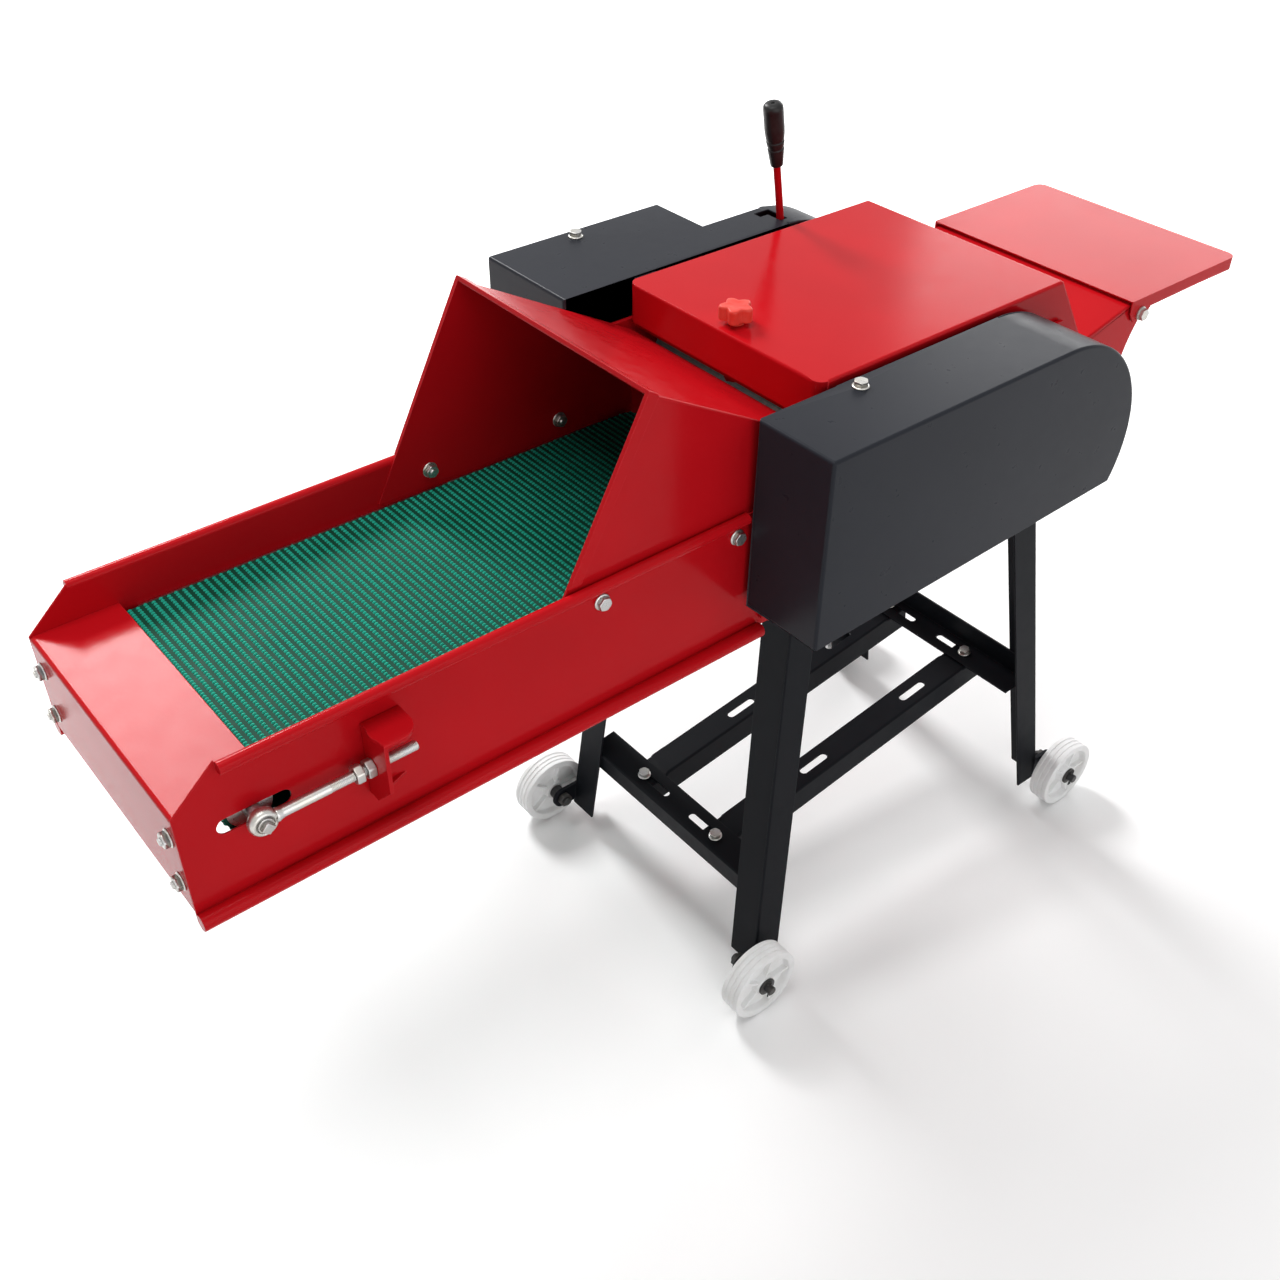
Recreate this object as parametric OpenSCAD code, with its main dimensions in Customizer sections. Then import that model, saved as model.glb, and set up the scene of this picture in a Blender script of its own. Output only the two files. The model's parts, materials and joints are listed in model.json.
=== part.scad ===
// Belt-fed chaff cutter: feed trough, drum cutter, drive guards and wheeled stand.
// X runs along the feed, from the trough towards the outlet. Z is up, and the floor is at zero.

/* [Feed trough] */
// Length of the trough's side panels
trough_len = 670; // [640:2:700]
// Sheet thickness of the trough, hood, covers and guards
sheet = 2; // [1.5:0.5:2.5]
// Depth of the panels' lower bead under the conveyor rollers' axes
panel_depth = 85; // [80:1:94]
// Height of the panels' top edge over the conveyor rollers' axes
panel_rise = 72; // [64:1:80]
// Height of the front cap's top plate over the conveyor rollers' axes
cap_rise = 32; // [30:1:38]
// Length of the front cap's top plate
cap_len = 86; // [80:1:90]
// Length of the sloped front corner of each panel
panel_slope_x = 45; // [30:1:60]
// Diameter of the rolled bead on the panels' top edge
top_bead_d = 12; // [8:1:14]
// Diameter of the rolled bead on the panels' lower edge
low_bead_d = 16; // [10:1:18]

/* [Conveyor] */
// Radius of the conveyor rollers
roller_r = 21; // [18:1:23]
// Thickness of the belt
belt_t = 3; // [2:0.5:4]
// Width of the belt
belt_w = 282; // [260:2:300]
// Gap between the belt and each side panel
belt_side_gap = 7; // [6:0.5:10]
// Pitch of the belt's cross ribs
rib_pitch = 9; // [8:1:14]
// Radius of the belt's cross ribs
rib_r = 1.3; // [1:0.1:1.6]
// Height of the conveyor rollers' axes over the floor
conveyor_z = 642; // [560:1:720]
// Distance of the front roller behind the trough's front
front_roller_x = 68; // [64:1:72]
// Half width of the front axle's squared ends
axle_r = 7.5; // [6:0.5:8]
// Radius of the tension rods
tension_r = 5; // [4:0.5:6]
// Distance of the tension bracket behind the trough's front
tension_plate_x = 172; // [165:1:180]

/* [Feed hood] */
// Distance of the hood's foot behind the trough's front
hood_foot_x = 368; // [350:2:390]
// Distance of the hood's peak behind the trough's front
hood_peak_x = 485; // [470:2:500]
// Height of the hood's peak over the conveyor rollers' axes
hood_peak_rise = 245; // [228:1:263]
// Height of the hood's rear end over the conveyor rollers' axes
hood_rear_rise = 123; // [118:1:126]
// Width of the hem along the hood's front edge
hem_w = 14; // [8:1:18]

/* [Cutter housing] */
// Thickness of the side plates
plate_t = 5; // [4:0.5:6]
// Depth of the side plates' lower edge under the conveyor rollers' axes
plate_depth = 102; // [100:1:112]
// Height of the side plates' top edge over the conveyor rollers' axes
plate_rise = 134; // [132:1:135]
// Distance from the feed rollers to the cutter shaft
cutter_dx = 187; // [186:1:190]
// Height of the cutter shaft over the conveyor rollers' axes
cutter_rise = 38; // [36:1:40]
// Radius of the cutter's knife edges
knife_tip_r = 120; // [116:1:122]
// Number of knives
knife_count = 4; // [2:1:6]
// Radius of the cutter shaft
shaft_r = 17.5; // [15:0.5:18]
// Radius of the belt pulley
pulley_r = 95; // [85:1:110]
// Radius of the lower feed roller
low_feed_r = 35; // [33:1:36]
// Radius of the upper feed roller
up_feed_r = 45; // [42:1:46]
// Radius of the feed roller shafts
feed_shaft_r = 10; // [8:0.5:11]
// Running clearance of shafts in their bushes
run_gap = 0.05; // [0.02:0.01:0.08]

/* [Gears] */
// Module of the cutter and counter gears
drive_m = 4; // [4:0.25:4]
// Teeth of the sliding pinion
pinion_teeth = 14; // [14:1:15]
// Teeth of the large counter gear
counter_teeth = 36; // [34:1:36]
// Teeth of the small counter gear
counter_pinion_teeth = 16; // [16:1:17]
// Teeth of the upper roller's drive gear
upper_teeth = 33; // [32:1:33]
// Teeth of the gears that pair the feed rollers
pair_teeth = 17; // [15:1:18]
// Module of the conveyor gears
conveyor_m = 3; // [3:0.25:3]
// Teeth of the conveyor gear on the lower feed roller
conveyor_teeth = 26; // [24:1:26]
// Teeth of the conveyor idler gear
idler_teeth = 16; // [15:1:18]
// Teeth of the gear on the conveyor's drive roller
drive_roller_teeth = 22; // [20:1:22]
// Play between meshing teeth
backlash = 0.5; // [0.3:0.1:0.8]

/* [Guards] */
// Depth of the belt guard, outwards from the housing
belt_guard_w = 100; // [90:1:110]
// Height of the guards' tops over the cutter shaft
guard_r = 140; // [136:1:142]
// Length of the guards in front of the cutter shaft
guard_front = 344; // [330:2:350]
// Depth of the gear guard's front part
gear_guard_w = 145; // [120:1:160]
// Depth of the gear guard's rear part
gear_guard_rear_w = 60; // [60:1:70]

/* [Top cover] */
// Height of the top cover over the cutter shaft
cover_rise = 142; // [141:1:146]
// Distance of the top cover's front behind the trough panels' end
cover_front_dx = 33; // [30:1:36]
// Length of the top cover's flat top
cover_len = 377; // [370:1:384]
// Height of the top cover's front skirt
cover_skirt = 45; // [40:1:46]
// Corner radius of the top cover, seen from above
cover_corner_r = 12; // [8:1:20]
// Outer radius of the star knob
knob_r = 20; // [16:0.5:22]

/* [Outlet] */
// Length of the discharge flap
flap_len = 215; // [190:1:230]
// Height of the discharge flap's top over the cutter shaft
flap_rise = 77; // [76:1:80]
// Height of the flap's side flanges
flap_flange = 16; // [12:1:20]
// Corner radius of the flap, seen from above
flap_corner_r = 12; // [6:1:20]

/* [Gear lever] */
// Length of the lever's rod above its pivot
lever_len = 131; // [115:1:150]
// Radius of the lever's rod
lever_r = 4.5; // [3.5:0.5:5]
// Length of the lever's grip
grip_len = 78; // [60:1:90]

/* [Stand] */
// Wheel radius
wheel_r = 50; // [45:1:55]
// Wheel width
wheel_w = 28; // [24:1:32]
// Distance from front wheels to rear wheels
wheel_base = 598; // [590:1:606]
// Width of the legs along the machine
leg_w = 40; // [36:1:44]
// Width of the legs across the machine
leg_d = 44; // [40:1:48]
// Thickness of the stand's angles
angle_t = 3; // [2.5:0.5:4]
// Height of the middle of the motor rails
cross_z = 184; // [174:1:194]
// Rise of the motor rails towards the rear, in degrees
rail_tilt = 8; // [5:0.5:10]
// Distance from the centre to the middle of each motor rail
rail_y = 72; // [66:1:78]
// Distance between the two motor slots of a rail
motor_slot_dx = 190; // [170:2:200]
// Length of the motor slots, end to end
motor_slot_len = 46; // [40:1:56]
// Radius of the motor slots' ends
motor_slot_r = 5.5; // [4:0.5:6]

/* [Hidden] */
$fn = 48;
eps = 0.01;
// Thread radius of the bolts and across-flats width of their heads
bolt_r = 4;
head_flats = 13;
flange_r = 8.8;
trough_w = belt_w + 2 * (belt_side_gap + sheet);
half_w = trough_w / 2;
inner_y = half_w - sheet;
plate_y = half_w;
plate_out = plate_y + plate_t;
seat_gap = 0.3;

// Heights over the floor
panel_low_z = conveyor_z - panel_depth;
panel_top_z = conveyor_z + panel_rise;
cap_z = conveyor_z + cap_rise;
hood_peak_z = conveyor_z + hood_peak_rise;
hood_rear_z = conveyor_z + hood_rear_rise;
plate_low_z = conveyor_z - plate_depth;
plate_top_z = conveyor_z + plate_rise;
cutter_z = conveyor_z + cutter_rise;
guard_top_z = cutter_z + guard_r;
cover_top_z = cutter_z + cover_rise;
flap_z = cutter_z + flap_rise;

// Shaft places in the feed direction and upwards
drive_roller_x = trough_len + 20;
housing_x0 = trough_len - 30;
belt_out_r = roller_r + seat_gap + belt_t;
belt_top_z = conveyor_z + belt_out_r;
feed_x = drive_roller_x + 80;
low_feed_z = belt_top_z - 2 - low_feed_r;
pair_m = 5;
up_feed_z = low_feed_z + pair_m * pair_teeth;
cutter_x = feed_x + cutter_dx;
housing_x1 = cutter_x + 148;
hood_rear_x = trough_len + 36;
hood_low_z = belt_top_z + 3;

// Cover, chute and flap places
cover_x0 = trough_len + cover_front_dx;
cover_x1 = cover_x0 + cover_len;
cover_half = half_w - 1;
chute_x0 = cutter_x + 131;
chute_x1 = chute_x0 + 132;
chute_rise = 0.25;
chute_lip = 12;
flap_x0 = chute_x1 + 2;
flap_x1 = flap_x0 + flap_len;
flap_half = half_w + 4;
pivot_x = flap_x0 + 21;
pivot_z = flap_z - 20;
chute_z1 = flap_z - 6;
chute_z0 = chute_z1 - chute_rise * (chute_x1 - chute_x0);
hinge_x = chute_x0 + 58;
hinge_z = chute_z0 + chute_rise * 58 + 9.5;
cover_low = [hinge_x - 8, hinge_z - 7];
hinge_pin_r = 4;
knob_x = cover_x0 + 24;
stud_r = 5;

// Guard places
guard_y = plate_out + 3;
belt_guard_y = guard_y + belt_guard_w;
gear_guard_y = guard_y + gear_guard_w;
gear_guard_rear_y = guard_y + gear_guard_rear_w;
guard_x0 = cutter_x - guard_front;
gear_guard_x0 = guard_x0 + 9;
gear_step_x = cutter_x - 85;
guard_low_front = cutter_z - 79;
guard_low_rear = cutter_z - 62;
gear_guard_low = panel_low_z + low_bead_d / 2 + 2;
guard_bolt_x = cutter_x - 223;

// Planes of the gears along Y, measured from the far side plate
conveyor_gear_y = plate_out + 3;
conveyor_gear_w = 10;
counter_gear_y = plate_out + 31;
gear_w = 12;
upper_gear_y = counter_gear_y + gear_w + 2;
pair_gear_y = upper_gear_y + gear_w + 10;
pair_gear_w = 16;

// Gear centres, as points of the XZ plane
cutter_c = [cutter_x, cutter_z];
upper_c = [feed_x, up_feed_z];
lower_c = [feed_x, low_feed_z];
roller_c = [drive_roller_x, conveyor_z];
counter_c = meet(cutter_c, drive_m * (pinion_teeth + counter_teeth) / 2,
                 upper_c, drive_m * (counter_pinion_teeth + upper_teeth) / 2, -1);
idler_c = meet(lower_c, conveyor_m * (conveyor_teeth + idler_teeth) / 2,
               roller_c, conveyor_m * (idler_teeth + drive_roller_teeth) / 2, 1);
counter_pin_r = 8;

// Turn of each gear that brings it into mesh with the one before
pinion_turn = 0;
counter_turn = mesh(cutter_c, pinion_teeth, pinion_turn, counter_c, counter_teeth);
upper_turn = mesh(counter_c, counter_pinion_teeth, counter_turn, upper_c, upper_teeth);
lower_pair_turn = mesh(upper_c, pair_teeth, 0, lower_c, pair_teeth);
idler_turn = mesh(lower_c, conveyor_teeth, 0, idler_c, idler_teeth);
roller_gear_turn = mesh(idler_c, idler_teeth, idler_turn, roller_c, drive_roller_teeth);

// Lever and shift fork
lever_pivot = [cutter_x + 17, guard_y + 24, guard_top_z - 58];
lever_lean = [-13.3, -4, 55];
lever_swing = 20;
tail_len = 40;
lever_tail = tail_len * [0, sin(lever_swing / 2), -cos(lever_swing / 2)];
fork_rod_c = [cutter_x + 43, cutter_z + 55];
fork_rod_r = 5;
hub_r = 20;
groove_r = 15;
pinion_rest_y = counter_gear_y;
hub_y = pinion_rest_y + gear_w;
hub_len = 14;
groove_y = hub_y + 4;
groove_w = 6;
stub_r = 12;

// Stand places: corners of the legs at the floor end and at the top end
leg_foot_z = 28;
leg_top_z = plate_low_z - 2;
foot_y = half_w + 42;
top_y = plate_out + angle_t + 0.5;
front_foot_x = cutter_x - 320;
front_top_x = cutter_x - 274;
front_wheel_x = front_foot_x - 20;
rear_wheel_x = front_wheel_x + wheel_base;
rear_foot_x = rear_wheel_x - 12;
rear_top_x = cutter_x + 143;
wheel_y = foot_y + 28;
wheel_axle_r = 6;
front_lean = atan2(front_top_x - front_foot_x, leg_top_z - leg_foot_z);
rear_lean = atan2(rear_top_x - rear_foot_x, leg_top_z - leg_foot_z);

// Motor rails and cross members, in the rails' own sloping frame
rail_mid_x = cutter_x - 46;
weld_gap = 0.2;
cross_flange = 40;
cross_drop = 35;
cross_half = half_w + 14;
front_bar_u = (angle_t + weld_gap - (rail_mid_x - front_foot_x) * cos(front_lean)
               + (cross_z - leg_foot_z) * sin(front_lean)) / cos(rail_tilt + front_lean);
rear_bar_u = (-angle_t - weld_gap - (rail_mid_x - rear_foot_x - cross_drop * sin(rail_tilt)) * cos(rear_lean)
              + (cross_z - leg_foot_z + cross_drop * cos(rail_tilt)) * sin(rear_lean)) / cos(rail_tilt + rear_lean);
rail_w = 40;
motor_mid_u = 28;
rail_bolts_u = [front_bar_u + 20, rear_bar_u - 20];

// Middle of the whole machine, which becomes the origin
nut_reach = 9;
x_mid = (flap_x1 - nut_reach) / 2;
y_mid = (gear_guard_y - belt_guard_y) / 2;

// Meeting point of two circles; side chooses which of the two
function meet(p, rp, q, rq, side) =
    let (d = norm(q - p), u = (q - p) / d, a = (rp * rp - rq * rq + d * d) / (2 * d),
         h = sqrt(rp * rp - a * a))
    p + a * u + side * h * [-u[1], u[0]] * (u[0] < 0 ? -1 : 1);

// Turn of the second gear that puts a gap where the first has a tooth
function mesh(p, teeth_p, turn_p, q, teeth_q) =
    let (line = atan2(q[1] - p[1], q[0] - p[0]))
    line + 180 + (0.5 - (turn_p - line) * teeth_p / 360) * 360 / teeth_q;

function involute(angle) = tan(angle) * 180 / PI - angle;

// Outline of a stub-tooth spur gear with involute flanks
function gear_outline(m, teeth) =
    let (rp = m * teeth / 2, rb = rp * cos(20), ra = rp + 0.8 * m, rf = rp - 1.1 * m,
         half = 90 / teeth - backlash / (4 * rp) * 180 / PI + involute(20),
         flank = [for (r = [rf, rp, ra]) [r, half - involute(acos(min(1, rb / max(r, rb))))]])
    [for (i = [0 : teeth - 1], k = [0 : 5])
        let (f = flank[k < 3 ? k : 5 - k], s = k < 3 ? -1 : 1, t = i * 360 / teeth + s * f[1])
        f[0] * [cos(t), sin(t)]];

// Outline of a roller with straight flutes
function flute_outline(r, depth, count) =
    [for (i = [0 : count - 1], k = [0 : 3])
        let (t = (i + [0.1, 0.3, 0.55, 0.85][k]) * 360 / count, q = [r, r, r - depth, r - depth][k])
        q * [cos(t), sin(t)]];

module placed() { translate([-x_mid, -y_mid, 0]) children(); }

// Extrusions of a flat shape along one axis, from one coordinate to another
module slab_y(y0, y1) { translate([0, y1, 0]) rotate([90, 0, 0]) linear_extrude(y1 - y0) children(); }
module slab_x(x0, x1) { translate([x0, 0, 0]) rotate([90, 0, 90]) linear_extrude(x1 - x0) children(); }
module slab_z(z0, z1) { translate([0, 0, z0]) linear_extrude(z1 - z0) children(); }
module rod_x(x0, x1, y, z, r) { translate([x0, y, z]) rotate([0, 90, 0]) cylinder(h = x1 - x0, r = r); }
module rod_y(c, y0, y1, r) { translate([c[0], y0, c[1]]) rotate([-90, 0, 0]) cylinder(h = y1 - y0, r = r); }
module box(low, high) { translate(low) cube(high - low); }
module both_sides() { children(); mirror([0, 1, 0]) children(); }

module rounded_rect(x0, x1, half, r0, r1) {
    translate([x0 + r0, -half]) square([x1 - x0 - r0 - r1, 2 * half]);
    translate([x0, -half + r0]) square([r0 + eps, 2 * (half - r0)]);
    translate([x1 - r1 - eps, -half + r1]) square([r1 + eps, 2 * (half - r1)]);
    for (s = [-1, 1]) {
        translate([x0 + r0, s * (half - r0)]) circle(r0);
        translate([x1 - r1, s * (half - r1)]) circle(r1);
    }
}

module slot_2d(len, r) {
    square([len - 2 * r, 2 * r], center = true);
    for (s = [-1, 1]) translate([s * (len / 2 - r), 0]) circle(r);
}

// Flange bolt along Z: its head stands on z = 0 and its nut clamps at z = -grip
module flange_bolt(grip) {
    translate([0, 0, -grip - 9]) cylinder(h = grip + 9 + eps, r = bolt_r);
    cylinder(h = 1.6, r = flange_r);
    cylinder(h = 7, d = head_flats / cos(30), $fn = 6);
    translate([0, 0, -grip - 7]) cylinder(h = 7, d = head_flats / cos(30), $fn = 6);
    translate([0, 0, -grip - 1.6]) cylinder(h = 1.6, r = flange_r);
}
module bolt_y(c, y, grip, dir) {
    translate([c[0], y, c[1]]) rotate([-90 * dir, 0, 0]) flange_bolt(grip);
}

module panel_outline() {
    polygon([[0, panel_low_z], [trough_len, panel_low_z], [trough_len, panel_top_z - top_bead_d / 2],
             [panel_slope_x, panel_top_z - top_bead_d / 2], [panel_slope_x, panel_top_z],
             [0, cap_z]]);
}

front_bolt_y = half_w - 16;
front_bolts_z = [cap_z - 31, cap_z - 83];
hood_bolts_x = [hood_foot_x + 64, hood_foot_x + 234];
hood_bolt_z = belt_top_z + 21;
frame_bolts_z = [panel_low_z + 19, panel_low_z + 46];
frame_bolt_x = housing_x0 + 15;
slot_x0 = front_roller_x - 34;
slot_x1 = front_roller_x + 34;

// Side panel of the trough on the near side, with rolled edges and a folded front flange
module trough_panel() {
    top_r = top_bead_d / 2;
    low_r = low_bead_d / 2;
    difference() {
        union() {
            slab_y(-half_w, -inner_y) panel_outline();
            rod_x(panel_slope_x, guard_x0 - 2, -half_w - top_r + sheet, panel_top_z - top_r, top_r);
            rod_x(0, housing_x0 - 2, -half_w - low_r + sheet, panel_low_z, low_r);
            box([sheet, -half_w, panel_low_z + low_r], [2 * sheet, -inner_y + 32, cap_z - 6]);
        }
        slab_y(-half_w - 1, -inner_y + 1) translate([(slot_x0 + slot_x1) / 2, conveyor_z])
            slot_2d(slot_x1 - slot_x0, axle_r + 0.5);
        for (z = front_bolts_z) rod_x(0, 3 * sheet, -front_bolt_y, z, bolt_r);
        for (x = hood_bolts_x) rod_y([x, hood_bolt_z], -half_w - 1, -inner_y + 1, bolt_r);
        for (z = frame_bolts_z) rod_y([frame_bolt_x, z], -half_w - 1, -inner_y + 1, bolt_r);
    }
}
module trough_panel_near() { color("firebrick") trough_panel(); }
module trough_panel_far() { color("firebrick") mirror([0, 1, 0]) trough_panel(); }

// Front cap: top plate over the front roller, front face and a turned-down rear lip
module trough_front_cap() {
    color("firebrick") difference() {
        slab_y(-inner_y, inner_y) polygon([[0, panel_low_z + low_bead_d / 2], [0, cap_z],
            [cap_len, cap_z], [cap_len, cap_z - 2 * sheet], [cap_len - sheet, cap_z - 2 * sheet],
            [cap_len - sheet, cap_z - sheet], [sheet, cap_z - sheet],
            [sheet, panel_low_z + low_bead_d / 2]]);
        for (z = front_bolts_z, s = [-1, 1]) rod_x(-1, 2 * sheet, s * front_bolt_y, z, bolt_r);
    }
}

// Slider bed that carries the belt's upper run, hung from the panels by its side flanges
module belt_bed() {
    bed_z = conveyor_z + roller_r;
    bed_x0 = front_roller_x + 34;
    bed_x1 = drive_roller_x - 34;
    color("dimgray") {
        box([bed_x0, -inner_y, bed_z - sheet], [bed_x1, inner_y, bed_z]);
        for (s = [-1, 1]) translate([bed_x0, s * (inner_y - sheet / 2) - sheet / 2, bed_z - 30])
            cube([bed_x1 - bed_x0, sheet, 30]);
    }
}

module belt_loop(r) {
    run = drive_roller_x - front_roller_x;
    translate([front_roller_x, conveyor_z - r]) square([run, 2 * r]);
    for (x = [front_roller_x, drive_roller_x]) translate([x, conveyor_z]) circle(r);
}

// Endless belt with cross ribs on its outer face
module conveyor_belt() {
    run = drive_roller_x - front_roller_x;
    runs = floor(run / rib_pitch);
    turns = floor(180 / (rib_pitch / belt_out_r * 180 / PI));
    color("seagreen") slab_y(-belt_w / 2, belt_w / 2) difference() {
        union() {
            belt_loop(belt_out_r);
            for (i = [0 : runs], s = [-1, 1])
                translate([front_roller_x + i * run / runs, conveyor_z + s * belt_out_r]) circle(rib_r);
            for (i = [1 : turns - 1], e = [0, 1])
                translate([e == 0 ? front_roller_x : drive_roller_x, conveyor_z])
                    rotate(90 + e * 180 + i * 180 / turns) translate([belt_out_r, 0]) circle(rib_r);
        }
        belt_loop(roller_r + seat_gap);
    }
}

// Front roller: a tube that turns on its fixed axle
module front_roller() {
    color("silver") difference() {
        rod_y([front_roller_x, conveyor_z], -belt_w / 2, belt_w / 2, roller_r);
        rod_y([front_roller_x, conveyor_z], -belt_w / 2 - 1, belt_w / 2 + 1, axle_r + run_gap);
    }
}

rod_eye_y = half_w + 14;
axle_half = rod_eye_y + 12;
module front_axle() {
    color("gray") rod_y([front_roller_x, conveyor_z], -axle_half, axle_half, axle_r);
}

// Eye bolts that pull the front axle forwards
tension_end_x = tension_plate_x + 44;
module tension_rod() {
    difference() {
        union() {
            rod_y([front_roller_x, conveyor_z], -rod_eye_y - 6, -rod_eye_y + 6, axle_r + 6);
            rod_x(front_roller_x + axle_r + 3, tension_end_x, -rod_eye_y, conveyor_z, tension_r);
        }
        rod_y([front_roller_x, conveyor_z], -rod_eye_y - 7, -rod_eye_y + 7, axle_r + eps);
    }
}
module tension_rods() { color("silver") both_sides() tension_rod(); }

plate_gauge = 4;
module tension_nut(x) {
    nut_w = 1.6 * tension_r;
    difference() {
        translate([x, -rod_eye_y, conveyor_z]) rotate([0, 90, 0])
            cylinder(h = nut_w, r = 1.85 * tension_r, $fn = 6);
        rod_x(x - 1, x + nut_w + 1, -rod_eye_y, conveyor_z, tension_r + run_gap);
    }
}
module tension_nuts() {
    nut_w = 1.6 * tension_r;
    color("silver") both_sides()
        for (x = [tension_plate_x - 2 * nut_w - 3, tension_plate_x - nut_w, tension_plate_x + plate_gauge])
            tension_nut(x);
}

// Bracket welded to each panel: a tapered upright with a rounded flange above and below
module tension_bracket() {
    reach = 40;
    web = 34;
    corner = 20;
    high = conveyor_z + 40;
    low = conveyor_z - 42;
    difference() {
        union() {
            slab_x(tension_plate_x, tension_plate_x + plate_gauge) polygon([[-half_w, low], [-half_w, high],
                [-half_w - reach, high], [-half_w - reach, conveyor_z - 14], [-half_w - 14, low]]);
            slab_z(high - plate_gauge, high) {
                translate([tension_plate_x, -half_w - reach + corner]) square([plate_gauge + web, reach - corner]);
                translate([tension_plate_x, -half_w - reach]) square([plate_gauge + web - corner, reach]);
                translate([tension_plate_x + plate_gauge + web - corner, -half_w - reach + corner]) circle(corner);
            }
            slab_z(low, low + plate_gauge) polygon([[tension_plate_x, -half_w], [tension_plate_x, -half_w - 14],
                [tension_plate_x + plate_gauge + web, -half_w]]);
        }
        rod_x(tension_plate_x - 1, tension_plate_x + plate_gauge + 1, -rod_eye_y, conveyor_z, tension_r + 0.4);
    }
}
module tension_brackets() { color("firebrick") both_sides() tension_bracket(); }

roller_half = inner_y - 5;
module drive_roller() {
    color("gray") {
        rod_y(roller_c, -belt_w / 2, belt_w / 2, roller_r);
        rod_y(roller_c, -plate_out - 3, conveyor_gear_y + conveyor_gear_w, feed_shaft_r);
    }
}

// Spur gear on a shaft: outline in the XZ plane, wide along Y
module spur(c, m, teeth, turn, y0, w, bore) {
    difference() {
        slab_y(y0, y0 + w) translate(c) rotate(turn) polygon(gear_outline(m, teeth));
        rod_y(c, y0 - 1, y0 + w + 1, bore);
    }
}
module drive_roller_gear() {
    color("slategray") spur(roller_c, conveyor_m, drive_roller_teeth, roller_gear_turn,
                            conveyor_gear_y, conveyor_gear_w, feed_shaft_r);
}
module conveyor_gear() {
    color("slategray") spur(lower_c, conveyor_m, conveyor_teeth, 0,
                            conveyor_gear_y, conveyor_gear_w, feed_shaft_r);
}
module idler_gear() {
    color("slategray") spur(idler_c, conveyor_m, idler_teeth, idler_turn,
                            conveyor_gear_y, conveyor_gear_w, counter_pin_r + run_gap);
}
module upper_drive_gear() {
    color("slategray") spur(upper_c, drive_m, upper_teeth, upper_turn, upper_gear_y, gear_w, feed_shaft_r);
}
module upper_pair_gear() {
    color("slategray") spur(upper_c, pair_m, pair_teeth, 0, pair_gear_y, pair_gear_w, feed_shaft_r);
}
module lower_pair_gear() {
    color("slategray") spur(lower_c, pair_m, pair_teeth, lower_pair_turn, pair_gear_y, pair_gear_w, feed_shaft_r);
}

// Two gears on one hub, which turn on a fixed pin
module counter_gear() {
    color("slategray") {
        spur(counter_c, drive_m, counter_teeth, counter_turn, counter_gear_y, gear_w, counter_pin_r + run_gap);
        spur(counter_c, drive_m, counter_pinion_teeth, counter_turn,
             counter_gear_y + gear_w - eps, upper_gear_y + gear_w - counter_gear_y - gear_w,
             counter_pin_r + run_gap);
    }
}

// Pinion that slides on the cutter shaft, with a fork groove in its hub
module sliding_pinion() {
    color("slategray") difference() {
        union() {
            slab_y(pinion_rest_y, pinion_rest_y + gear_w) translate(cutter_c) rotate(pinion_turn)
                polygon(gear_outline(drive_m, pinion_teeth));
            rod_y(cutter_c, hub_y - eps, hub_y + hub_len, groove_r);
            rod_y(cutter_c, hub_y - eps, groove_y, hub_r);
            rod_y(cutter_c, groove_y + groove_w, hub_y + hub_len, hub_r);
        }
        rod_y(cutter_c, pinion_rest_y - 1, hub_y + hub_len + 1, stub_r + run_gap);
    }
}

// Fixed pins of the counter gear and the idler gear, and the fork's guide rod
module gear_pin(c, seat_y, end_y) {
    rod_y(c, plate_y, end_y + 3, counter_pin_r);
    if (seat_y > plate_out) rod_y(c, plate_out, seat_y, counter_pin_r + 4);
    rod_y(c, end_y + seat_gap, end_y + 3, counter_pin_r + 3);
}
module gear_pins() {
    color("gray") {
        gear_pin(counter_c, counter_gear_y - seat_gap, upper_gear_y + gear_w);
        gear_pin(idler_c, conveyor_gear_y - seat_gap, conveyor_gear_y + conveyor_gear_w);
        rod_y(fork_rod_c, plate_y, gear_guard_rear_y - sheet - 1, fork_rod_r);
    }
}

// Fluted feed rollers with their shafts
module feed_roller(c, r, flutes) {
    slab_y(-roller_half, roller_half) translate(c) polygon(flute_outline(r, 5, flutes));
    rod_y(c, -plate_out - 3, pair_gear_y + pair_gear_w + 2, feed_shaft_r);
}
module upper_feed_roller() { color("gray") feed_roller(upper_c, up_feed_r, 12); }
module lower_feed_roller() { color("gray") feed_roller(lower_c, low_feed_r, 16); }

bush_r = feed_shaft_r + 5;
module roller_bushes() {
    color("darkgoldenrod") both_sides() for (c = [upper_c, lower_c, roller_c]) difference() {
        rod_y(c, plate_y - 4, plate_out + 2, bush_r);
        rod_y(c, plate_y - 5, plate_out + 3, feed_shaft_r + run_gap);
    }
}

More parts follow.
